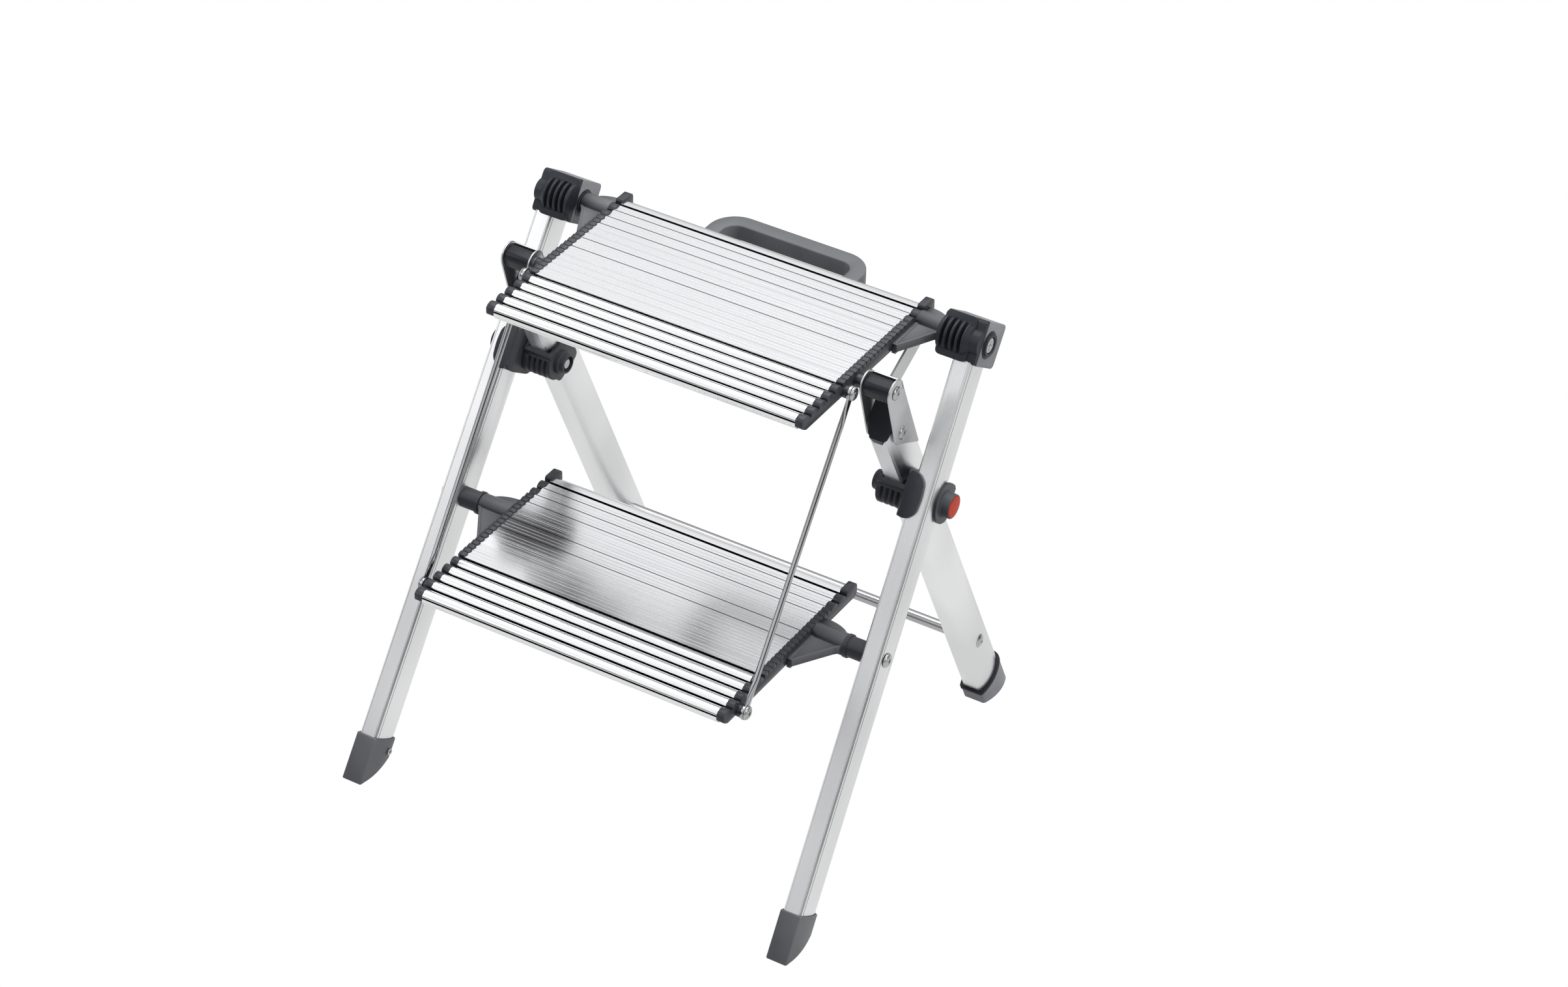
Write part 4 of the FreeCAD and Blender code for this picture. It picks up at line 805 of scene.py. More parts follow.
def hollow_underside(front, rear, crest):
    """The line under a tread, from rear to front, with open cells between thin walls, and the nose."""
    cells, skin, rib, thick = 6, 2.4, 2.2, 12.0
    bottom = crest - thick
    ceiling = crest - GROOVE_DEPTH - skin
    pitch = (rear - front - 2 * skin + rib) / cells
    points = [(rear, bottom)]
    for index in reversed(range(cells)):
        start = front + skin + index * pitch
        end = start + pitch - rib
        points += [(end, bottom), (end, ceiling), (start, ceiling), (start, bottom)]
    nose_deep = 5.0
    nose_shares = ((1, 1), (0.16, 0.8), (0, 0.6833), (0, 0.4583), (0.4, 0.4417), (0.4, 0.325), (0, 0.3083))
    return points + fitted(nose_shares, (front, front + nose_deep), (crest, bottom))


class MakeTreads(bpy.types.Operator):
    """Draws both ribbed aluminium treads and pushes them out across the stool"""
    bl_idname = "stool.make_treads"
    bl_label = "Treads"

    def execute(self, context):
        sizes = context.scene.stool_sizes
        for tread, body in TREADS.items():
            front, crest = TREAD_FRONTS[tread], TREAD_CRESTS[tread]
            rear = front + TREAD_DEPTH
            outline = tread_profile(front, rear, crest, sizes.bar_pitch / MM, sizes.groove_width / MM)
            outline += hollow_underside(front, rear, crest)
            piece = side_plate(tread + "_extrusion", outline, -TREAD_HALF, TREAD_HALF)
            softened(piece, 0, angle=34)
            dress(piece, body, "tread_aluminium", tread, tread)
        return {"FINISHED"}


def cap_profile(front, rear, crest, pitch, groove):
    """Top line of an end cap: humps at both ends, low tiles between them and a raised block at the rear."""
    grow, front_drop, front_floor, rear_humps, rear_drop, rear_floor = 0.5, 3.0, 4.6, 2, 2.6, 3.6
    block_long, tile_long = 17.5, 6.3
    block_start = rear - block_long
    hump_start = block_start - rear_humps * pitch
    tile_start = front + ROUND_BARS * pitch
    points = []
    for index in range(ROUND_BARS):
        start = front + index * pitch + (groove / 2 if index else -grow)
        end = front + (index + 1) * pitch
        points += bar_top(start, end - groove / 2, crest + grow, front_drop)
        points += [(end - groove / 2, crest - front_floor), (end + groove / 2, crest - front_floor)]
    tiles = round((hump_start - tile_start) / tile_long)
    tile = (hump_start - tile_start) / tiles
    tile_high = 3.2
    tile_shares = ((0.082, -0.8125), (0.147, -0.1875), (0.804, 0.125), (0.918, 0), (0.951, -1), (1.049, -1))
    for index in range(tiles):
        start = tile_start + index * tile
        points += fitted(tile_shares, (start, start + tile), (crest, crest + tile_high))
    for index in range(rear_humps):
        start = hump_start + index * pitch
        end = start + pitch
        points += bar_top(start + groove / 2, end - groove / 2, crest + grow, rear_drop, 8)
        points += [(end - groove / 2, crest - rear_floor), (end + groove / 2, crest - rear_floor)]
    block_low, block_high = crest - 3.0, crest + 0.9
    block_shares = ((0.0556, 0), (0.0667, 0.5897), (0.1444, 1), (0.8278, 1), (0.95, 0.6923), (1, 0.0769))
    return points + fitted(block_shares, (block_start, rear + grow), (block_low, block_high))


class MakeEndCaps(bpy.types.Operator):
    """Draws the moulded end caps that close the treads"""
    bl_idname = "stool.make_end_caps"
    bl_label = "End Caps"

    def execute(self, context):
        sizes = context.scene.stool_sizes
        thick, grow, bite, edge_share = 12.5, 0.5, 0.4, 0.3
        heel_deep, heel_high, toe_deep = 3.0, 3.0, 6.5
        toe_shares = ((1, 1), (0.2923, 0.784), (0.0462, 0.656), (0, 0.56))
        for tread, body in TREADS.items():
            name = tread.replace("tread", "end_cap")
            front, crest = TREAD_FRONTS[tread], TREAD_CRESTS[tread]
            rear = front + TREAD_DEPTH
            bottom = crest - thick
            outline = cap_profile(front, rear, crest, sizes.bar_pitch / MM, sizes.groove_width / MM)
            outline += [(rear + grow, bottom + heel_high), (rear + grow - heel_deep, bottom)]
            outline += fitted(toe_shares, (front - grow, front - grow + toe_deep), (crest, bottom))
            cap = side_plate(name, outline, TREAD_HALF - bite, CAP_OUTER)
            softened(cap, sizes.soft_edge * edge_share, angle=40)
            dress_pair(cap, name, body, "grey_plastic", "cap")
        return {"FINISHED"}


# Moulded pieces. Each is shaped in the frame of its leg or bar: X across, Y behind, Z along it.

CLAMP_FRAME = leg_matrix(FRONT_X, *TOP_HINGE, FRONT_SLOPE, 0)
SADDLE_FRAME = leg_matrix(front_x(CROSSING[1]), *CROSSING, FRONT_SLOPE, FRONT_SPLAY_SHARE)
BLOCK_FRAME = leg_matrix(REAR_X, *CROSSING, REAR_SLOPE, 0)
LINK_FRAME = bar_matrix(rear_x(KNEE[1]), KNEE, LINK_TOP)
STRUT_FRAME = bar_matrix(STRUT_X, STRUT_FOOT, STRUT_TOP)
FRONT_LEG = leg_matrix(front_x(FRONT_LINE[1]), *FRONT_LINE, FRONT_SLOPE, FRONT_SPLAY_SHARE)

OWN_AXIS = (0, 0)


def slotted(bulge, first, width, pitch, axis_y, radius, count=4):
    """Cuts lens-shaped slots across the front of a half round."""
    for index in range(count):
        start = first + index * pitch
        combine(bulge, "DIFFERENCE", round_bar("slot_cutter", start, start + width, (axis_y, 0), radius))


class MakeTopClamps(bpy.types.Operator):
    """Shapes the ribbed clamps that hold the front legs to the top hinge"""
    bl_idname = "stool.make_top_clamps"
    bl_label = "Top Clamps"

    def execute(self, context):
        inner, outer, half = -24.25, 11.55, 18.8
        front, back, overlap, corner = -16.5, 22.5, 1.0, 5.0
        outline = rectangle(front - overlap, back, -half, half)
        body = side_plate("clamp_body", outline, inner, outer, corner)
        plate_end, plate_thick = 4.2, 3.0
        plate_outline = rectangle(inner, plate_end, -half, half)
        plate = front_plate("clamp_plate", plate_outline, front - plate_thick, front + overlap, corner)
        bulge_radius, bulge_axis = 15.0, -13.0
        bulge_shares = ((0, 0.96), (0.017, 1), (0.672, 1), (0.711, 0.907), (0.761, 0.867), (0.8, 0.733),
                        (0.989, 0.693), (1, 0.667))
        bulge = turned("clamp_bulge", bulge_shares, inner, outer, bulge_radius, (bulge_axis, 0), WIDE_SIDES)
        slot_margin, slot_width, slot_pitch, slot_axis, slot_radius = 3.4, 3.2, 5.4, -23.5, 14.8
        slotted(bulge, inner + slot_margin, slot_width, slot_pitch, slot_axis, slot_radius)
        combine(body, "UNION", plate, bulge)
        collar_root, collar_end, collar_radius = 1.0, -1.6, 12.8
        collar_shares = ((0, 1), (0.654, 1), (0.692, 0.75), (1, 0.734), (1, 0.625))
        collar = turned("clamp_collar", collar_shares, inner + collar_root, inner + collar_end,
                        collar_radius, OWN_AXIS)
        boss_half, boss_radius = 2.0, 11.4
        boss_shares = ((0, 1), (0.625, 1), (0.675, 0.877), (1, 0.877), (1, 0.632), (0.575, 0.614))
        boss = turned("clamp_boss", boss_shares, outer - boss_half, outer + boss_half, boss_radius, OWN_AXIS)
        combine(body, "UNION", collar, boss)
        softened(body, context.scene.stool_sizes.soft_edge)
        dress_pair(placed(body, CLAMP_FRAME), "top_clamp", "front_frame", "grey_plastic", "clamp")
        return {"FINISHED"}


class MakeRearBlocks(bpy.types.Operator):
    """Shapes the cradles that carry the rear legs on the crossing pivots"""
    bl_idname = "stool.make_rear_blocks"
    bl_label = "Rear Blocks"

    def execute(self, context):
        half, high, deep, wall, corner = 14.0, 18.0, 21.4, 3.1, 2.4
        cheek_shares = ((-0.393, 1), (0.514, 0.861), (1, -0.389), (0.972, -0.861), (0.794, -1),
                        (-0.393, -1))
        cheek = fitted(cheek_shares, (0, deep), (0, high))
        body = side_plate("block_inner_cheek", cheek, -half, wall - half, corner)
        outer_cheek = side_plate("block_outer_cheek", cheek, half - wall, half, corner)
        flange_front, flange_back, flange_corner = -8.7, -4.7, 2.0
        flange_outline = rectangle(-half, half, -high, high)
        flange = front_plate("block_flange", flange_outline, flange_front, flange_back, flange_corner)
        bulge_axis = -3.2
        bulge_shares = ((0, 0.957), (0.021, 1), (0.979, 1), (1, 0.957))
        bulge = turned("block_bulge", bulge_shares, -half, half, half, (bulge_axis, 0), WIDE_SIDES)
        slot_margin, slot_width, slot_pitch, slot_axis, slot_radius = 3.8, 3.1, 5.2, -16.6, 13.6
        slotted(bulge, slot_margin - half, slot_width, slot_pitch, slot_axis, slot_radius)
        combine(body, "UNION", outer_cheek, flange, bulge)
        boss_root, boss_end, boss_radius = 1.0, 8.0, 10.6
        boss_shares = ((0, 1), (0.489, 1), (0.578, 0.925), (0.589, 0.811), (0.933, 0.811), (1, 0.774),
                       (1, 0.66), (0.667, 0.651))
        boss = turned("block_boss", boss_shares, boss_root - half, -boss_end - half, boss_radius, OWN_AXIS)
        combine(body, "UNION", boss)
        softened(body, context.scene.stool_sizes.soft_edge)
        dress_pair(placed(body, BLOCK_FRAME), "rear_block", "rear_frame", "grey_plastic", "grey_plastic")
        return {"FINISHED"}


class MakeSaddles(bpy.types.Operator):
    """Shapes the saddles on the front legs at the crossing pivots"""
    bl_idname = "stool.make_saddles"
    bl_label = "Saddles"

    def execute(self, context):
        half, inner, wall_end, front, back = 20.0, -17.17, -8.4, -31.3, 10.9
        wall_shares = ((0, 0.173), (0.137, 0.078), (0.456, 0.014), (0.684, 0), (1, 0), (1, 1), (0.228, 1),
                       (0, 0.953))
        body = flat_plate("saddle_wall", fitted(wall_shares, (inner, wall_end), (front, back)), -half, half)
        side_corner = 11.0
        side_outline = rectangle(front, back, -half, half)
        limit = side_plate("saddle_limit", side_outline, inner - side_corner, 0, side_corner, 10)
        combine(body, "INTERSECT", limit)
        tab_start, tab_end, tab_half, tab_corner, tab_thick = -13.6, 1.8, 19.5, 5.5, 3.2
        tab_shares = ((0, -1), (0.494, -1), (0.922, -0.667), (1, 0), (0.922, 0.667), (0.494, 1), (0, 1))
        tab_outline = fitted(tab_shares, (tab_start, tab_end), (0, tab_half))
        tab = front_plate("saddle_tab", tab_outline, front, front + tab_thick, tab_corner, 8)
        wrap_half, wrap_front, wrap_corner, wrap_inner, wrap_outer = 16.0, 6.0, 4.0, -9.0, 10.5
        wrap_outline = rectangle(wrap_front, back, -wrap_half, wrap_half)
        wrap = side_plate("saddle_wrap", wrap_outline, wrap_inner, wrap_outer, wrap_corner)
        flange_radius, flange_opening, flange_inner, flange_outer = 17.4, 50, 8.6, 11.1
        flange_outline = arc(OWN_AXIS, flange_radius, flange_opening, 360 - flange_opening, 40)
        flange = side_plate("saddle_flange", flange_outline, flange_inner, flange_outer)
        combine(body, "UNION", tab, wrap, flange)
        edge_share = 1.3
        softened(body, context.scene.stool_sizes.soft_edge * edge_share, 3)
        dress_pair(placed(body, SADDLE_FRAME), "pivot_saddle", "front_frame", "grey_plastic", "grey_plastic")
        return {"FINISHED"}


class MakeKnobs(bpy.types.Operator):
    """Turns the pivot knobs and the plain discs set into them"""
    bl_idname = "stool.make_knobs"
    bl_label = "Knobs And Discs"

    def execute(self, context):
        base, tip, knob_radius, knob_edge = 213.4, 223.02, 11.9, 0.12
        knob_shares = ((0, 1), (0.229, 1), (0.281, 0.966), (0.291, 0.916), (0.927, 0.882), (0.979, 0.857),
                       (1, 0.832), (1, 0.798), (0.917, 0.79))
        knob = turned("knob", knob_shares, base, tip, knob_radius, CROSSING, KNOB_SIDES)
        softened(knob, knob_edge * MM)
        dress_pair(knob, "pivot_knob", "front_frame", "grey_plastic", "grey_plastic")
        disc_depth, disc_proud, disc_radius = 0.8, 0.3, 9.3
        disc_shares = ((0, 1), (0.773, 1), (0.945, 0.978), (1, 0.935))
        disc = turned("disc", disc_shares, tip - disc_depth, tip + disc_proud, disc_radius, CROSSING,
                      KNOB_SIDES)
        dress_pair(softened(disc, 0), "knob_disc", "front_frame", "red_plastic", "red_plastic")
        return {"FINISHED"}


# Brackets between the treads and the hinge shafts.

class MakeBrackets(bpy.types.Operator):
    """Shapes the winged brackets that join the treads to their hinge shafts"""
    bl_idname = "stool.make_brackets"
    bl_label = "Brackets"

    def execute(self, context):
        soft = context.scene.stool_sizes.soft_edge
        for name, body, hinge in (("top_bracket", "top_platform", TOP_HINGE),
                                  ("lower_bracket", "lower_step", LOWER_HINGE)):
            end = extent(name + "_right", X)[1]
            sleeve = bracket_sleeve(name, hinge, end)
            combine(sleeve, "UNION", *bracket_fin(name, hinge, end), bracket_wing(name, hinge, end),
                    bracket_pad(name, hinge))
            edge_share = 0.8
            softened(sleeve, soft * edge_share)
            dress_pair(sleeve, name, body, "grey_plastic", "bracket")
        return {"FINISHED"}


# A bracket stands on the end cap. Its fin reaches forward and its wing back, both at hinge height.
FIN_LONG = 46.0
WING_LONG = 17.0
FIN_BELOW = 3.0
RIM_ABOVE = 4.0


def bracket_sleeve(name, hinge, end):
    radius, chamfer, bore = 9.5, 0.6, 4.6
    stations = [(CAP_OUTER, radius), (end - chamfer, radius), (end, radius - chamfer), (end, bore)]
    return spun_bar(name + "_sleeve", stations, hinge, WIDE_SIDES)


def bracket_fin(name, hinge, end):
    """The fin and the rim that stands up along its free edge."""
    y, z = hinge
    root, gap = CAP_OUTER, 0.5
    root_wide, bend, end_bend, tip = 4.5, 13.5, 9.0, end - 5.0
    corner, above = 3.5, 3.2
    outline = [(root, y), (root, y - FIN_LONG), (root + root_wide, y - FIN_LONG + gap), (tip, y - bend),
               (end - gap, y - end_bend), (end - gap, y)]
    fin = flat_plate(name + "_fin", outline, z - FIN_BELOW, z + above, corner)
    rim_wide, rim_corner, rim_bend, rim_root = 2.0, 0.8, 13.8, 0.2
    outer = [(root + gap, y - FIN_LONG), (root + root_wide, y - FIN_LONG + rim_root), (tip, y - rim_bend),
             (end - gap, y - end_bend + gap)]
    inner_shares = ((-1.25, 0.25), (-0.8, 0.7), (-0.55, 1), (0, 1))
    inner = [(x + u * rim_wide, y + v * rim_wide) for (x, y), (u, v) in zip(reversed(outer), inner_shares)]
    rim = flat_plate(name + "_rim", outer + inner, z - FIN_BELOW, z + RIM_ABOVE, rim_corner)
    return fin, rim


def bracket_wing(name, hinge, end):
    """A quarter of an ellipse behind the sleeve."""
    y, z = hinge
    root_wide, gap, steps = 2.0, 1.0, 10
    curve = arc((0, 0), 1, 90, 0, steps)
    outline = [(CAP_OUTER, y), (CAP_OUTER, y + WING_LONG)]
    outline += fitted(curve, (CAP_OUTER + root_wide, end - gap), (y, y + WING_LONG))
    return flat_plate(name + "_wing", outline + [(end - gap, y)], z - FIN_BELOW, z + RIM_ABOVE)


def bracket_pad(name, hinge):
    """The foot of the bracket, which lies against the end cap."""
    y, z = hinge
    below, corner, thick = 6.0, 2.5, 3.0
    outline = rectangle(y - FIN_LONG, y + WING_LONG, z - below, z + RIM_ABOVE)
    return side_plate(name + "_pad", outline, CAP_OUTER, CAP_OUTER + thick, corner)


# Links, struts and rivets.

def rivet(name, root, x, centre, radius, height):
    """A domed rivet head with a raised ring round its centre hole, on a shank that starts at the root."""
    shank_share = 0.5
    dome_shares = ((0, 1), (0.22, 1), (0.6, 0.9), (0.86, 0.72), (0.96, 0.58), (0.86, 0.5), (0.86, 0.44),
                   (1, 0.38), (1, 0.26), (0.3, 0.22))
    shank = [(root, radius * shank_share), (x, radius * shank_share)]
    return softened(turned(name, dome_shares, x, x + height, radius, centre, RIVET_SIDES, shank), 0)


class MakeLinks(bpy.types.Operator):
    """Shapes the bent plate links, their covers and the pins on both ends"""
    bl_idname = "stool.make_links"
    bl_label = "Links"

    def execute(self, context):
        metal_edge = context.scene.stool_sizes.metal_edge
        length = math.hypot(LINK_TOP[0] - KNEE[0], LINK_TOP[1] - KNEE[1])
        gap, plate, play = 12.1, 1.5, 0.35
        face = gap + plate
        outline = link_outline(length)
        outer_ear = side_plate("link_outer_ear", outline, gap, face)
        inner_ear = side_plate("link_inner_ear", outline, -face, -gap)
        web_front, web_low, web_high = 9.9, 6.0, 4.0
        web = flat_plate("link_web", rectangle(-face, face, web_front, web_front + plate),
                         length - web_low, length + web_high)
        edge_share = 1.6
        link = softened(joined("link_bracket", outer_ear, inner_ear, web), metal_edge * edge_share, 3)
        dress_pair(placed(link, LINK_FRAME), "link_bracket", "link_{}", "link_steel", "link_steel")
        cover_half, cover_corner, cover_edge = 9.0, 3.4, 0.5
        cover_shares = ((-0.989, -0.722), (-0.333, -1), (0.722, -0.722), (0.956, 0.222), (0.556, 0.911),
                        (-0.578, 0.956), (-0.989, 0.511))
        cover_outline = fitted(cover_shares, (0, cover_half), (length, length + cover_half))
        cover = side_plate("link_cover", cover_outline, play - gap, gap - play, cover_corner, 7)
        softened(cover, cover_edge * MM, 3)
        dress_pair(placed(cover, LINK_FRAME), "link_roller", "link_{}", "grey_plastic", "stopper")
        centre = rear_x(KNEE[1])
        head_radius, head_height, collar_radius = 5.9, 1.9, 6.0
        outer = rivet("knee_rivet", centre + gap, centre + face, KNEE, head_radius, head_height)
        inner = rivet("knee_rivet_inner", centre - gap, centre - face, KNEE, head_radius, -head_height)
        pins = joined("link_rivets", outer, inner)
        dress_pair(pins, "link_rivets", "link_{}", "rivet_steel", "rivet_steel")
        pin = rivet("link_pin", PIN_ROOT, centre + face + play, LINK_TOP, head_radius, head_height)
        collar = round_bar("link_pin_collar", CAP_OUTER, centre - face - play, LINK_TOP, collar_radius)
        dress_group(joined("link_pin", pin, collar), "link_pins", "top_platform", "collared_steel")
        return {"FINISHED"}


def link_outline(length):
    """The ear of a link: round at the upper pin, then wider towards a cut-off tail at the knee."""
    radius = 11.6
    belly, tail_start = (15.8, 7.0), (20.0, -29.5)
    tail_corner = 3.5
    tail = [(19.4, -24.0), (20.3, -32.8), (-radius, -3.0), (-radius, 8.0)]
    steps = 6
    curves = rounded_corners(tail, tail_corner, steps)
    outline = arc((0, length), radius, 180, 0, 20) + swept((radius, length), belly, tail_start, 14)
    return outline + curves[steps + 1:3 * (steps + 1)]


class MakeStruts(bpy.types.Operator):
    """Draws the plated struts with their pressed ends, and the rivets that carry them"""
    bl_idname = "stool.make_struts"
    bl_label = "Struts"

    def execute(self, context):
        length = math.hypot(STRUT_TOP[0] - STRUT_FOOT[0], STRUT_TOP[1] - STRUT_FOOT[1])
        taper, flat_end, eye_half, eye_radius, rod_edge, rod_sides = 13.0, 14.0, 1.5, 6.5, 0.25, 32
        clear_selection()
        bpy.ops.mesh.primitive_cylinder_add(
            vertices=rod_sides, radius=context.scene.stool_sizes.strut_radius,
            depth=(length - 2 * (taper + flat_end)) * MM, location=(0, 0, length / 2 * MM))
        rod = named("strut_rod")
        bpy.ops.object.mode_set(mode="EDIT")
        press_end(rod, 1, taper)
        press_end(rod, -1, taper)
        bpy.ops.object.mode_set(mode="OBJECT")
        eye_shares = ((-1, 0.908), (-0.733, 1), (0.733, 1), (1, 0.908))
        eyes = [turned("strut_eye", eye_shares, 0, eye_half, eye_radius, (0, height), RIVET_SIDES)
                for height in (0, length)]
        strut = softened(joined("strut", rod, *eyes), rod_edge * MM)
        dress_pair(placed(strut, STRUT_FRAME), "strut", "strut_{}", "plated_steel", "plated_steel")
        half_stack, head_radius, head_height, collar_radius = 1.85, 6.0, 2.4, 5.6
        for name, body, centre in (("upper_strut_rivets", "top_platform", STRUT_TOP),
                                   ("lower_strut_rivets", "lower_step", STRUT_FOOT)):
            head = rivet(name, PIN_ROOT, STRUT_X + half_stack, centre, head_radius, head_height)
            collar = round_bar(name + "_collar", CAP_OUTER, STRUT_X - half_stack, centre, collar_radius)
            dress_group(joined(name, head, collar), name, body, "collared_steel")
        return {"FINISHED"}


def press_end(rod, way, length):
    """Draws one end of the rod out twice by a length: first pressed flat and wide, then straight on."""
    bpy.ops.mesh.select_mode(type="FACE")
    flat_enough = 0.9
    for thin_share, wide_share in ((0.5, 1.9), (1, 1)):
        bpy.ops.mesh.select_all(action="DESELECT")
        bpy.ops.object.mode_set(mode="OBJECT")
        ends = [face for face in rod.data.polygons if face.normal.z * way > flat_enough]
        end = max(ends, key=lambda face: face.center.z * way)
        end.select = True
        middle_of_end = end.center.copy()
        bpy.ops.object.mode_set(mode="EDIT")
        bpy.ops.mesh.extrude_region_move(TRANSFORM_OT_translate={"value": (0, 0, way * length * MM)})
        bpy.ops.transform.resize(value=(thin_share, wide_share, 1), center_override=middle_of_end)


class MakeHingeRivets(bpy.types.Operator):
    """Turns the rivet heads that show on the outer sides of the legs"""
    bl_idname = "stool.make_hinge_rivets"
    bl_label = "Hinge Rivets"

    def execute(self, context):
        start, end, shank_radius, top_radius, top_edge = 212.3, 214.1, 4.4, 6.6, 0.1
        top_shares = ((0, 1), (0.778, 1), (0.944, 0.939), (0.944, 0.636), (0.611, 0.591), (0.611, 0.47),
                      (1, 0.424), (1, 0.242), (0.278, 0.212))
        shank = [(PIN_ROOT, shank_radius), (start, shank_radius)]
        top = turned("top_rivet", top_shares, start, end, top_radius, TOP_HINGE, shank=shank)
        dress_group(softened(top, top_edge * MM), "top_shafts", "front_frame", "rivet_steel")
        leg_half, lower_radius, lower_height = 9.4, 6.2, 2.6
        wall = front_x(LOWER_HINGE[1]) + leg_half
        lower = rivet("lower_rivet", PIN_ROOT, wall, LOWER_HINGE, lower_radius, lower_height)
        dress_group(lower, "lower_shafts", "front_frame", "rivet_steel")
        return {"FINISHED"}


# Feet, stoppers and the carrying loop.

def foot_section(grow):
    """The outline of the front leg's tube in the leg's frame, as (x, y), made larger all round."""
    face, side, waist, back = 6.4 + grow, 8.2 + grow, 6.6 + grow, 36.5 + grow
    bead_deep, bead_round, swell, swell_deep, waist_deep, back_round = 1.4, 0.2, 3.2, 13.8, 31.0, 1.2
    bead, narrow = (side, bead_deep), (waist, waist_deep)
    right = [(face, -grow), *swept((face, -grow), (side - bead_round, -grow), bead, 5), bead]
    right += [*swept(bead, (side + swell, swell_deep), narrow, 14), narrow]
    right += [*swept(narrow, (waist - back_round, back), (0, back), 8), (0, back)]
    return right + [(-x, y) for x, y in reversed(right[:-1])]


def room_above(name, bottom):
    """A block that covers a front foot with room to spare, above a height."""
    margin = 40.0
    x0, x1 = extent("front_foot_right", X)
    y0, y1 = extent("front_foot_right", Y)
    outline = rectangle(x0 - margin, x1 + margin, y0 - margin, y1 + margin)
    return flat_plate(name, outline, bottom, extent("front_foot_right", Z)[1] + margin)


class MakeFeet(bpy.types.Operator):
    """Draws the feet of the front legs as plain sleeves cut off at the floor"""
    bl_idname = "stool.make_feet"
    bl_label = "Front Feet"

    def execute(self, context):
        rim, depth, wall, play, overrun, sole = -243.7, 60.0, 2.1, 0.1, 5.0, 5.0
        foot = placed(flat_plate("front_foot", foot_section(wall), rim - depth, rim), FRONT_LEG)
        combine(foot, "INTERSECT", room_above("floor_limit", 0))
        socket = placed(flat_plate("foot_socket", foot_section(play), rim - depth, rim + overrun), FRONT_LEG)
        combine(socket, "INTERSECT", room_above("sole_limit", sole))
        combine(foot, "DIFFERENCE", socket)
        softened(foot, context.scene.stool_sizes.soft_edge, 3)
        dress_pair(foot, "front_foot", "front_frame", "grey_plastic", "foot")
        return {"FINISHED"}


def rounded_node(node, width, body, finish):
    """Dresses a copy of a frame piece with its loose triangles merged and its edges rounded."""
    copy = frame["nodes"][node].copy()
    copy.data = copy.data.copy()
    copy.parent = None
    bpy.context.scene.collection.objects.link(copy)
    pick(copy)
    copy.hide_set(False)
    named(node + "_shape")
    bpy.ops.mesh.customdata_custom_splitnormals_clear()
    merged(copy, MERGE_DISTANCE / 2, math.radians(1.5))
    apply_modifier(copy, "BEVEL", width=width, segments=3, limit_method="ANGLE", angle_limit=math.radians(30),
                   use_clamp_overlap=True)
    pick(copy)
    bpy.ops.object.shade_smooth_by_angle(angle=math.radians(40))
    dress(copy, body, "grey_plastic", finish, node)


class MakeMouldings(bpy.types.Operator):
    """Rounds the edges of the rear feet, the stoppers and the carrying loop"""
    bl_idname = "stool.make_mouldings"
    bl_label = "Rear Feet, Stoppers And Loop"

    def execute(self, context):
        soft = context.scene.stool_sizes.soft_edge
        foot_share, stopper_share, loop_share = 0.5, 0.8, 1.8
        for side in ("_right", "_left"):
            rounded_node("rear_foot" + side, soft * foot_share, "rear_frame", "rear_foot")
        for side in ("_right", "_left"):
            rounded_node("rail_plug" + side, soft * stopper_share, "rear_frame", "stopper")
        rounded_node("carry_handle", soft * loop_share, "top_platform", "foot")
        return {"FINISHED"}


# The stage. Places are in metres and powers in watts.

SOFTBOXES = (
    ("top_softbox", (-0.3, 0.7, 2.8), (2.6, 1.8), 34),
    ("right_softbox", (2.6, -0.2, 1.4), (1.0, 1.8), 12),
    ("left_softbox", (-2.2, -1.6, 1.8), (1.6, 1.2), 9),
)

# How light the surroundings are from the horizon, at zero, to overhead, as the metals see them.
SKY_SHADES = ((0.08, 0.16), (0.24, 0.2), (0.36, 0.86), (0.6, 1.0))
HORIZON = (0.30, 0.31, 0.33, 1)
ZENITH = (1.02, 1.02, 1.02, 1)
SCREEN = (0.12, 0.12, 0.13, 1)

FILM_WIDTH = 36
CLEAR_VIEW = 50


class MakeStage(bpy.types.Operator):
    """Sets up the floor, the studio lights and the camera"""
    bl_idname = "stool.make_stage"
    bl_label = "Stage"

    def execute(self, context):
        scene = context.scene
        stage = scene.stool_stage
        clear_selection()
        bpy.ops.mesh.primitive_plane_add(size=2 * stage.floor_half, location=(0, 0, 0))
        floor = named("studio_floor")
        bpy.ops.object.mode_set(mode="EDIT")
        bpy.ops.mesh.subdivide(number_cuts=3)
        bpy.ops.object.mode_set(mode="OBJECT")
        floor.data.materials.append(floor_material())
        studio_world(scene)
        for softbox in SOFTBOXES:
            add_softbox(*softbox, stage.aim)
        scene.camera = photo_camera(stage)
        scene.view_settings.view_transform = "Standard"
        return {"FINISHED"}


def photo_camera(stage):
    data = bpy.data.cameras.new("photo_camera")
    camera = bpy.data.objects.new("photo_camera", data)
    bpy.context.scene.collection.objects.link(camera)
    data.lens = stage.lens
    data.sensor_width = FILM_WIDTH
    data.sensor_fit = "HORIZONTAL"
    data.clip_end = CLEAR_VIEW
    turn = (Matrix.Rotation(stage.azimuth, 4, "Z") @ Matrix.Rotation(math.pi / 2 - stage.elevation, 4, "X")
            @ Matrix.Rotation(stage.roll, 4, "Z"))
    place = Vector(stage.aim) + turn.to_3x3() @ Vector((0, 0, stage.distance))
    camera.matrix_world = Matrix.Translation(place) @ turn
    return camera


def mixed(tree, ray, first, second):
    """One surface for all rays but this kind, and another one for it."""
    share = add_node(tree, "LightPath", {}).outputs[ray]
    return add_node(tree, "MixShader", {"Fac": share, 1: first, 2: second}).outputs["Shader"]


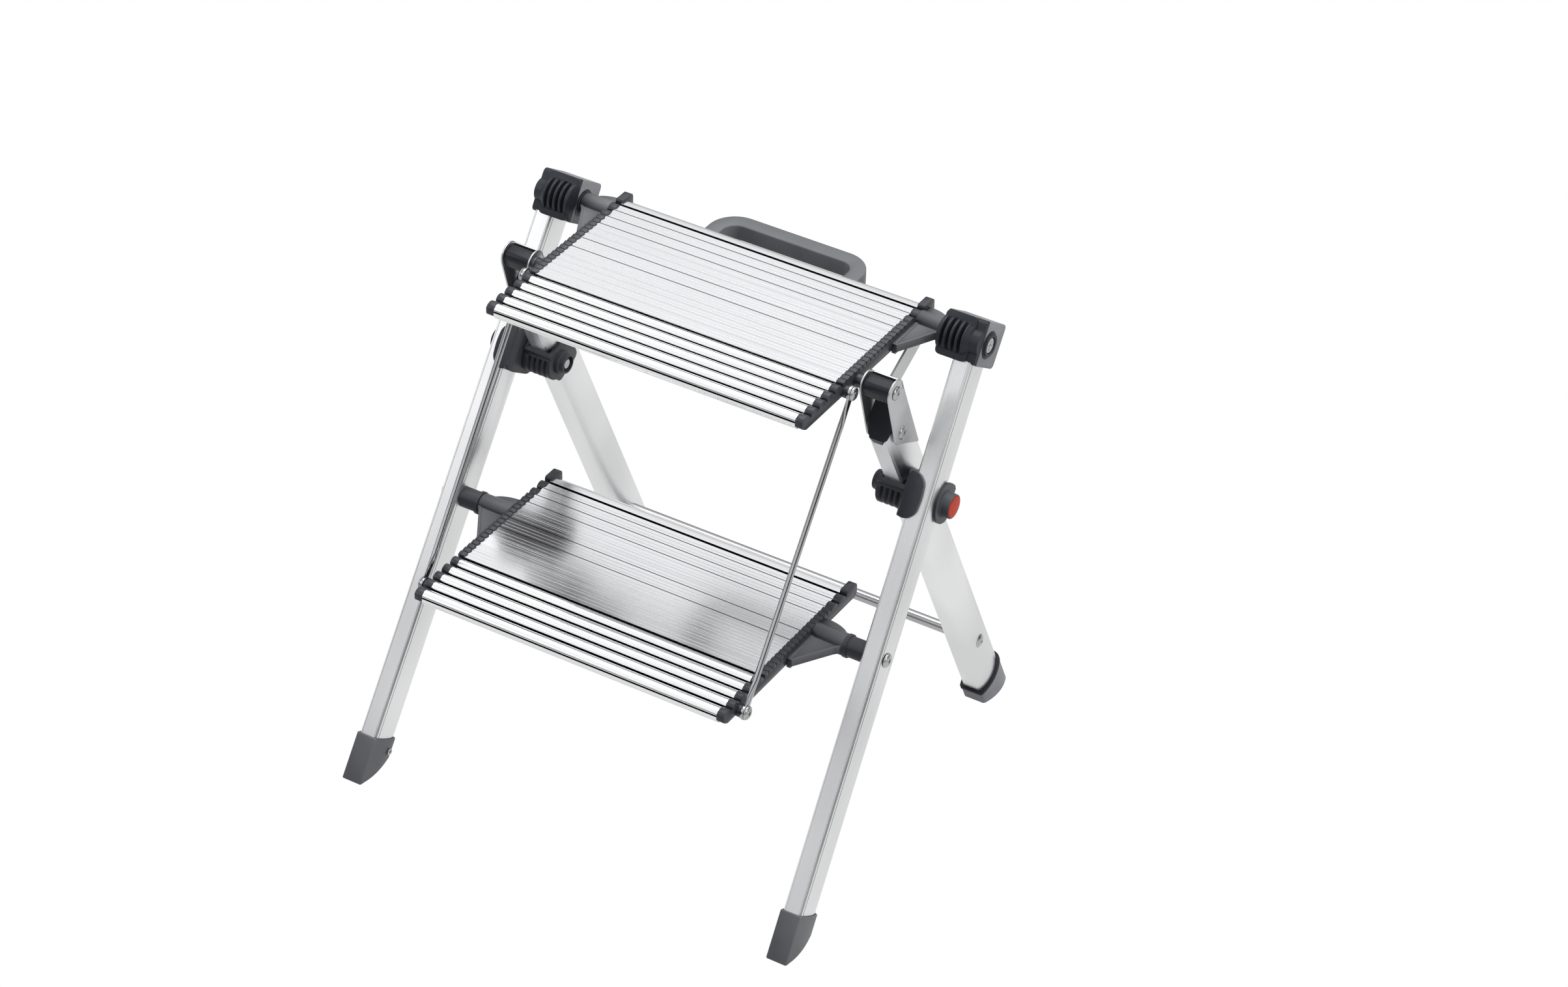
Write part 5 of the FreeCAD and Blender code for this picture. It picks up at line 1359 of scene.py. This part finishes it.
def floor_material():
    """A matt pale floor that the camera and the metals see as lit white paper."""
    material, tree, shader = new_finish("studio_paper", (0.42, 0.42, 0.43), 0.0, 0.9)
    surface = shader.outputs["BSDF"]
    for ray, brightness in (("Is Glossy Ray", 0.84), ("Is Camera Ray", 1.0)):
        glow = add_node(tree, "Emission", {"Strength": brightness})
        surface = mixed(tree, ray, surface, glow.outputs["Emission"])
    tree.links.new(surface, tree.nodes["Material Output"].inputs["Surface"])
    return material


def studio_world(scene):
    """White for the camera, and for the metals a bright tent with dark screens low down and on the right."""
    world = bpy.data.worlds.new("studio_surround")
    scene.world = world
    world.use_nodes = True
    tree = world.node_tree
    sky = add_node(tree, "TexCoord", {}).outputs["Generated"]
    split = add_node(tree, "SeparateXYZ", {"Vector": sky})
    height = add_node(tree, "ValToRGB", {"Fac": split.outputs["Z"]})
    ramp = height.color_ramp.elements
    ramp[0].position = 0.0
    ramp[0].color = HORIZON
    ramp[1].position = 1.0
    ramp[1].color = ZENITH
    for position, shade in SKY_SHADES:
        ramp.new(position).color = (shade, shade, shade * 1.02, 1)
    right = spread(tree, split.outputs["X"], 0, 1, 0.72, 0.8)
    screens = add_node(tree, "Mix", {0: right, 6: height.outputs["Color"], 7: SCREEN},
                       data_type="RGBA", blend_type="MULTIPLY")
    seen_by_metals = add_node(tree, "Background", {"Color": screens.outputs[2], "Strength": 1})
    white = add_node(tree, "Background", {"Color": (1, 1, 1, 1), "Strength": 1})
    surface = mixed(tree, "Is Camera Ray", seen_by_metals.outputs["Background"], white.outputs["Background"])
    tree.links.new(surface, tree.nodes["World Output"].inputs["Surface"])


def add_softbox(name, place, size, power, target):
    light = bpy.data.lights.new(name, "AREA")
    light.shape = "RECTANGLE"
    light.size, light.size_y = size
    light.energy = power
    lamp = bpy.data.objects.new(name, light)
    bpy.context.scene.collection.objects.link(lamp)
    lamp.location = place
    lamp.rotation_euler = (Vector(target) - Vector(place)).to_track_quat("-Z", "Y").to_euler()


class StoolPanel(bpy.types.Panel):
    """Lists the steps that dress the stool"""
    bl_idname = "VIEW3D_PT_step_stool"
    bl_label = "Step Stool"
    bl_space_type = "VIEW_3D"
    bl_region_type = "UI"
    bl_category = "Step Stool"

    def draw(self, context):
        for settings in (context.scene.stool_sizes, context.scene.stool_colours, context.scene.stool_stage):
            box = self.layout.box()
            for key in settings.__annotations__:
                box.prop(settings, key)
        for operator in STEPS:
            self.layout.operator(operator.bl_idname)


STEPS = (MakeFinishes, MakeTreads, MakeEndCaps, MakeBrackets, MakeTopClamps, MakeRearBlocks, MakeSaddles,
         MakeKnobs, MakeLinks, MakeStruts, MakeHingeRivets, MakeFeet, MakeMouldings, MakeStage)
SETTINGS = {"stool_sizes": StoolSizes, "stool_colours": StoolColours, "stool_stage": StoolStage}
CLASSES = (*SETTINGS.values(), *STEPS, StoolPanel)


def register():
    for item in CLASSES:
        bpy.utils.register_class(item)
    for name, group in SETTINGS.items():
        setattr(bpy.types.Scene, name, bpy.props.PointerProperty(type=group))


def unregister():
    for name in SETTINGS:
        delattr(bpy.types.Scene, name)
    for item in reversed(CLASSES):
        bpy.utils.unregister_class(item)


def main():
    register()
    for operator in STEPS:
        group, step = operator.bl_idname.split(".")
        getattr(getattr(bpy.ops, group), step)()


if __name__ == "__main__":
    main()
